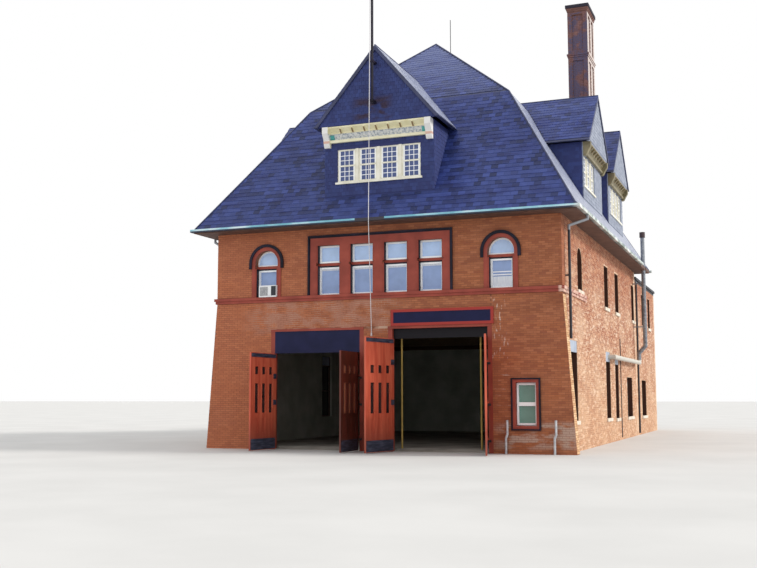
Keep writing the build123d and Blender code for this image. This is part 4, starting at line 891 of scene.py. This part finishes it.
# Each dormer: its kind, its middle and half length, where its wall face is, the
# foot and the lip of its ribs (out of the wall, height) and half of their pitch
DORMERS = (("front", 0.0, 1.84, 13.0, (0.15, 11.37), (0.30, 11.505), 0.23),
           ("side", -6.5, 1.82, 6.5, (0.125, 11.21), (0.25, 11.305), 0.2275),
           ("side", -0.6, 1.82, 6.5, (0.125, 11.21), (0.25, 11.305), 0.2275))
RIB, CARVED_LEAF, FRIEZE_END = (0.055, 0.20, 0.02), (0.075, 0.075, 0.02), (0.16, 0.17, 0.02)
RIB_GAPS, FRIEZE_FOOT, COVE_FOOT_OUT, LEAF_COUNT, LEAF_PITCH = 8, 11.15, 0.04, 32, 0.115
FIRST_LEAF, LEAF_OUT, LEAF_RAISED, END_INSET, END_OUT, END_HEIGHT = 0.06, 0.072, 0.012, 0.08, 0.085, 11.25
ribs, leaves, ends = [], [], []


def on_cornice(kind, side, middle, along, out, height):
    """A place on a cornice: along it, out of the wall and up."""
    if kind == "front":
        return Vector((middle + along, -out, height))
    return Vector((side * out, middle + along, height))


for kind, middle, end, face_at, brow, lip, half_pitch in DORMERS:
    for side in ((-1,) if kind == "front" else (-1, 1)):
        across = Vector((1, 0, 0)) if kind == "front" else Vector((0, side, 0))
        outward = on_cornice(kind, side, 0, 0, 1, 0)
        rise = (outward * (lip[0] - brow[0]) + Vector((0, 0, lip[1] - brow[1]))).normalized()
        rib_out, rib_height = face_at + (brow[0] + lip[0]) / 2, (brow[1] + lip[1]) / 2
        for step in range(1, RIB_GAPS):
            spot = on_cornice(kind, side, middle, -end + step * 2 * half_pitch, rib_out, rib_height)
            ribs.append((spot, RIB, facing(across, rise), 0.5))
        if kind == "side":
            continue
        slant = (outward * (brow[0] - COVE_FOOT_OUT) + Vector((0, 0, brow[1] - FRIEZE_FOOT))).normalized()
        spin = Matrix.Rotation(math.pi / 4, 3, across.cross(slant))
        for step in range(LEAF_COUNT):
            spot = on_cornice(kind, side, middle, -end + FIRST_LEAF + step * LEAF_PITCH,
                              face_at + LEAF_OUT, (FRIEZE_FOOT + brow[1]) / 2 + LEAF_RAISED)
            leaves.append((spot, CARVED_LEAF, facing(spin @ across, spin @ slant), 0.5))
        for along in (-end + END_INSET, end - END_INSET):
            ends.append((on_cornice(kind, side, middle, along, face_at + END_OUT, END_HEIGHT),
                         FRIEZE_END, facing(across, slant), 0.5))
lay("cornice_ribs", ribs, rib_paint, 0.0, 9)
lay("carved_frieze", leaves, carving, 0.0, 10)
lay("frieze_ends", ends, green_end, 0.0, 11)

ridges = [((0, -13.33, 14.44), (0, -8.8, 14.44), ROLL)]
for side in (-1, 1):
    for middle in (-6.5, -0.6):
        ridges.append(((side * 6.78, middle, 13.71), (side * 3.55, middle, 13.71), ROLL))
rods("dormer_ridge_rolls", ridges, lead_sheet)

# The chimney: brick in two tiers, sooty brown on the street side and painted pale
# on the sunny side as painted sunlight, with a dark cap of weathered stone.

chimney_brick, tree, shader, place = fresh_material("sooty_chimney_brick", 0.85)
face = toned(tree, ["#6c4a4a", "#785452", "#845f5b"])
face = stained(tree, place, face, (4, -6, 12), (7, 0, 19), "#574f68", 0.35, 0.38)
# The chimney's sunny side is painted pale as painted sunlight.
right_of = beyond(tree, place, (0, -20, 0), (5.98, 20, 30))
behind = beyond(tree, place, (0, -20, 0), (9, -4.33, 30), SHARP)
painted_sunlit_face = add(tree, "ShaderNodeMath", {0: right_of, 1: behind}, operation="MINIMUM").outputs[0]
paint_shader(tree, shader, mixed(tree, painted_sunlit_face, face, mixed(tree, 0.72, face, "#e6dad2")))
roughened(tree, shader, place, 0.012, 0.002)
chimney_mortar, tree, shader, place = fresh_material("sooty_mortar", 0.95)
joints = patchy(tree, place, 0.3, ["#6b4a44", "#7d5a52"])
paint_shader(tree, shader, mixed(tree, past(tree, place, "Z", 18.26), joints, "#2f2c38"))
dress(chimney_mortar, "chimney")
lay("chimney_bricks", bricks_on(faces_of("chimney", upright), 50), chimney_brick, BRICK_WAVER, 7)

# The gutters: sheet troughs in flaking pale blue-green paint on straps, painted dark below
# their lip as painted shade and over a short stretch where the trough is missing, as the
# shade behind it, and paler on the right side as painted sunlight. The downspouts are black pipe.

green_paint, tree, shader, place = fresh_material("flaking_pale_green_paint", 0.5)
street_side = patchy(tree, place, (0.9, 0.9, 0.3), ["#74b4c8", "#a0d2e2", "#d8ebf1"], 0.42, 0.66)
# Below the lip the trough is painted dark as painted shade.
street_side = mixed(tree, beyond(tree, place, (-20, -20, 7.9), (20, 20, 8.035)), "#2a3348", street_side)
# A short stretch where the trough is missing is painted dark as the shade behind it.
street_side = mixed(tree, beyond(tree, place, (-0.6, -14, 7.9), (0.51, -13.5, 8.2)), "#33303a", street_side)
# The right side's gutter is painted paler as painted sunlight.
painted_sunlit_gutter = patchy(tree, place, (0.4, 0.7, 0.3), ["#75857f", "#b2bdb9", "#dfe4e2"], 0.4, 0.6)
not_right = beyond(tree, place, (-20, -14, 0), (7.14, 20, 20))
paint_shader(tree, shader, mixed(tree, not_right, street_side, painted_sunlit_gutter))
dress(green_paint, "gutters")
STRAP_COUNT, STRAP_START, STRAP_PITCH, STRAP = 24, -7.0, 0.61, 0.03
STRAP_OUT, STRAP_IN, STRAP_FOOT, STRAP_TOP = -13.77, -13.64, 7.985, 7.99
straps = []
for number in range(STRAP_COUNT):
    along = STRAP_START + number * STRAP_PITCH
    straps.append(board((along, STRAP_OUT, STRAP_FOOT), (along + STRAP, STRAP_IN, STRAP_TOP)))
lay("gutter_straps", straps, green_paint, 0.0, 12)

spout_paint, tree, shader, place = fresh_material("black_spout_with_grey_neck", 0.5)
black = patchy(tree, place, 0.1, ["#1a1b22", "#2b2d38"])
paint_shader(tree, shader, mixed(tree, past(tree, place, "Z", 7.45), black, "#8b9098"))
dress(spout_paint, "downspouts")

# The flue: round galvanised pipe in seamed lengths, with a dark hood, and the
# two painted standpipes at the right pier.

galvanised, tree, shader, place = fresh_material("dull_galvanised_sheet", 0.45, Metallic=0.5)
sheet = patchy(tree, place, 0.08, ["#6f747d", "#868b93", "#989da4"])
sheet = mixed(tree, past(tree, place, "Z", 3.62, "LESS_THAN"), sheet, "#d3d0c6")
paint_shader(tree, shader, mixed(tree, past(tree, place, "Z", 9.56), sheet, "#4b3d40"))
dress(galvanised, "flue_stack")
# The middle of the upright pipe in x and y, and of the level one in x and z
STACK_X, STACK_Y, LEVEL_X, LEVEL_Z = 7.03, 4.3, 6.72, 3.49
SEAM, SEAM_RADIUS, SEAM_SIDES = 0.03, 0.1, 16
seams = [((STACK_X, STACK_Y, height), (STACK_X, STACK_Y, height + SEAM))
         for height in (5.0, 6.1, 7.2, 8.9)]
seams += [((LEVEL_X, along, LEVEL_Z), (LEVEL_X, along + SEAM, LEVEL_Z))
          for along in (-2.6, -1.4, -0.2, 1.0, 2.2, 3.4)]
rods("flue_seams", [(*span, SEAM_RADIUS, SEAM_SIDES) for span in seams], galvanised)

painted("grey_white_pipe_paint", 0.5, 0.1, ["#a7abb0", "#c9ccd0"], ["standpipes"])

# The flagpole: a straight pole in navy paint, with its taut pale halyard.

TWIST = 0.03
dress(navy_paint, "flagpole")
pale_rope, tree, shader, place = fresh_material("pale_twisted_rope", 0.9)
twist = add(tree, "ShaderNodeTexWave", {"Vector": place, "Scale": WAVE_METRE / TWIST, "Distortion": 0.0},
            bands_direction="DIAGONAL")
paint_shader(tree, shader, graded(tree, twist.outputs["Fac"], ["#cbc8cc", "#e6e4e8"]))
dress(pale_rope, "halyard")
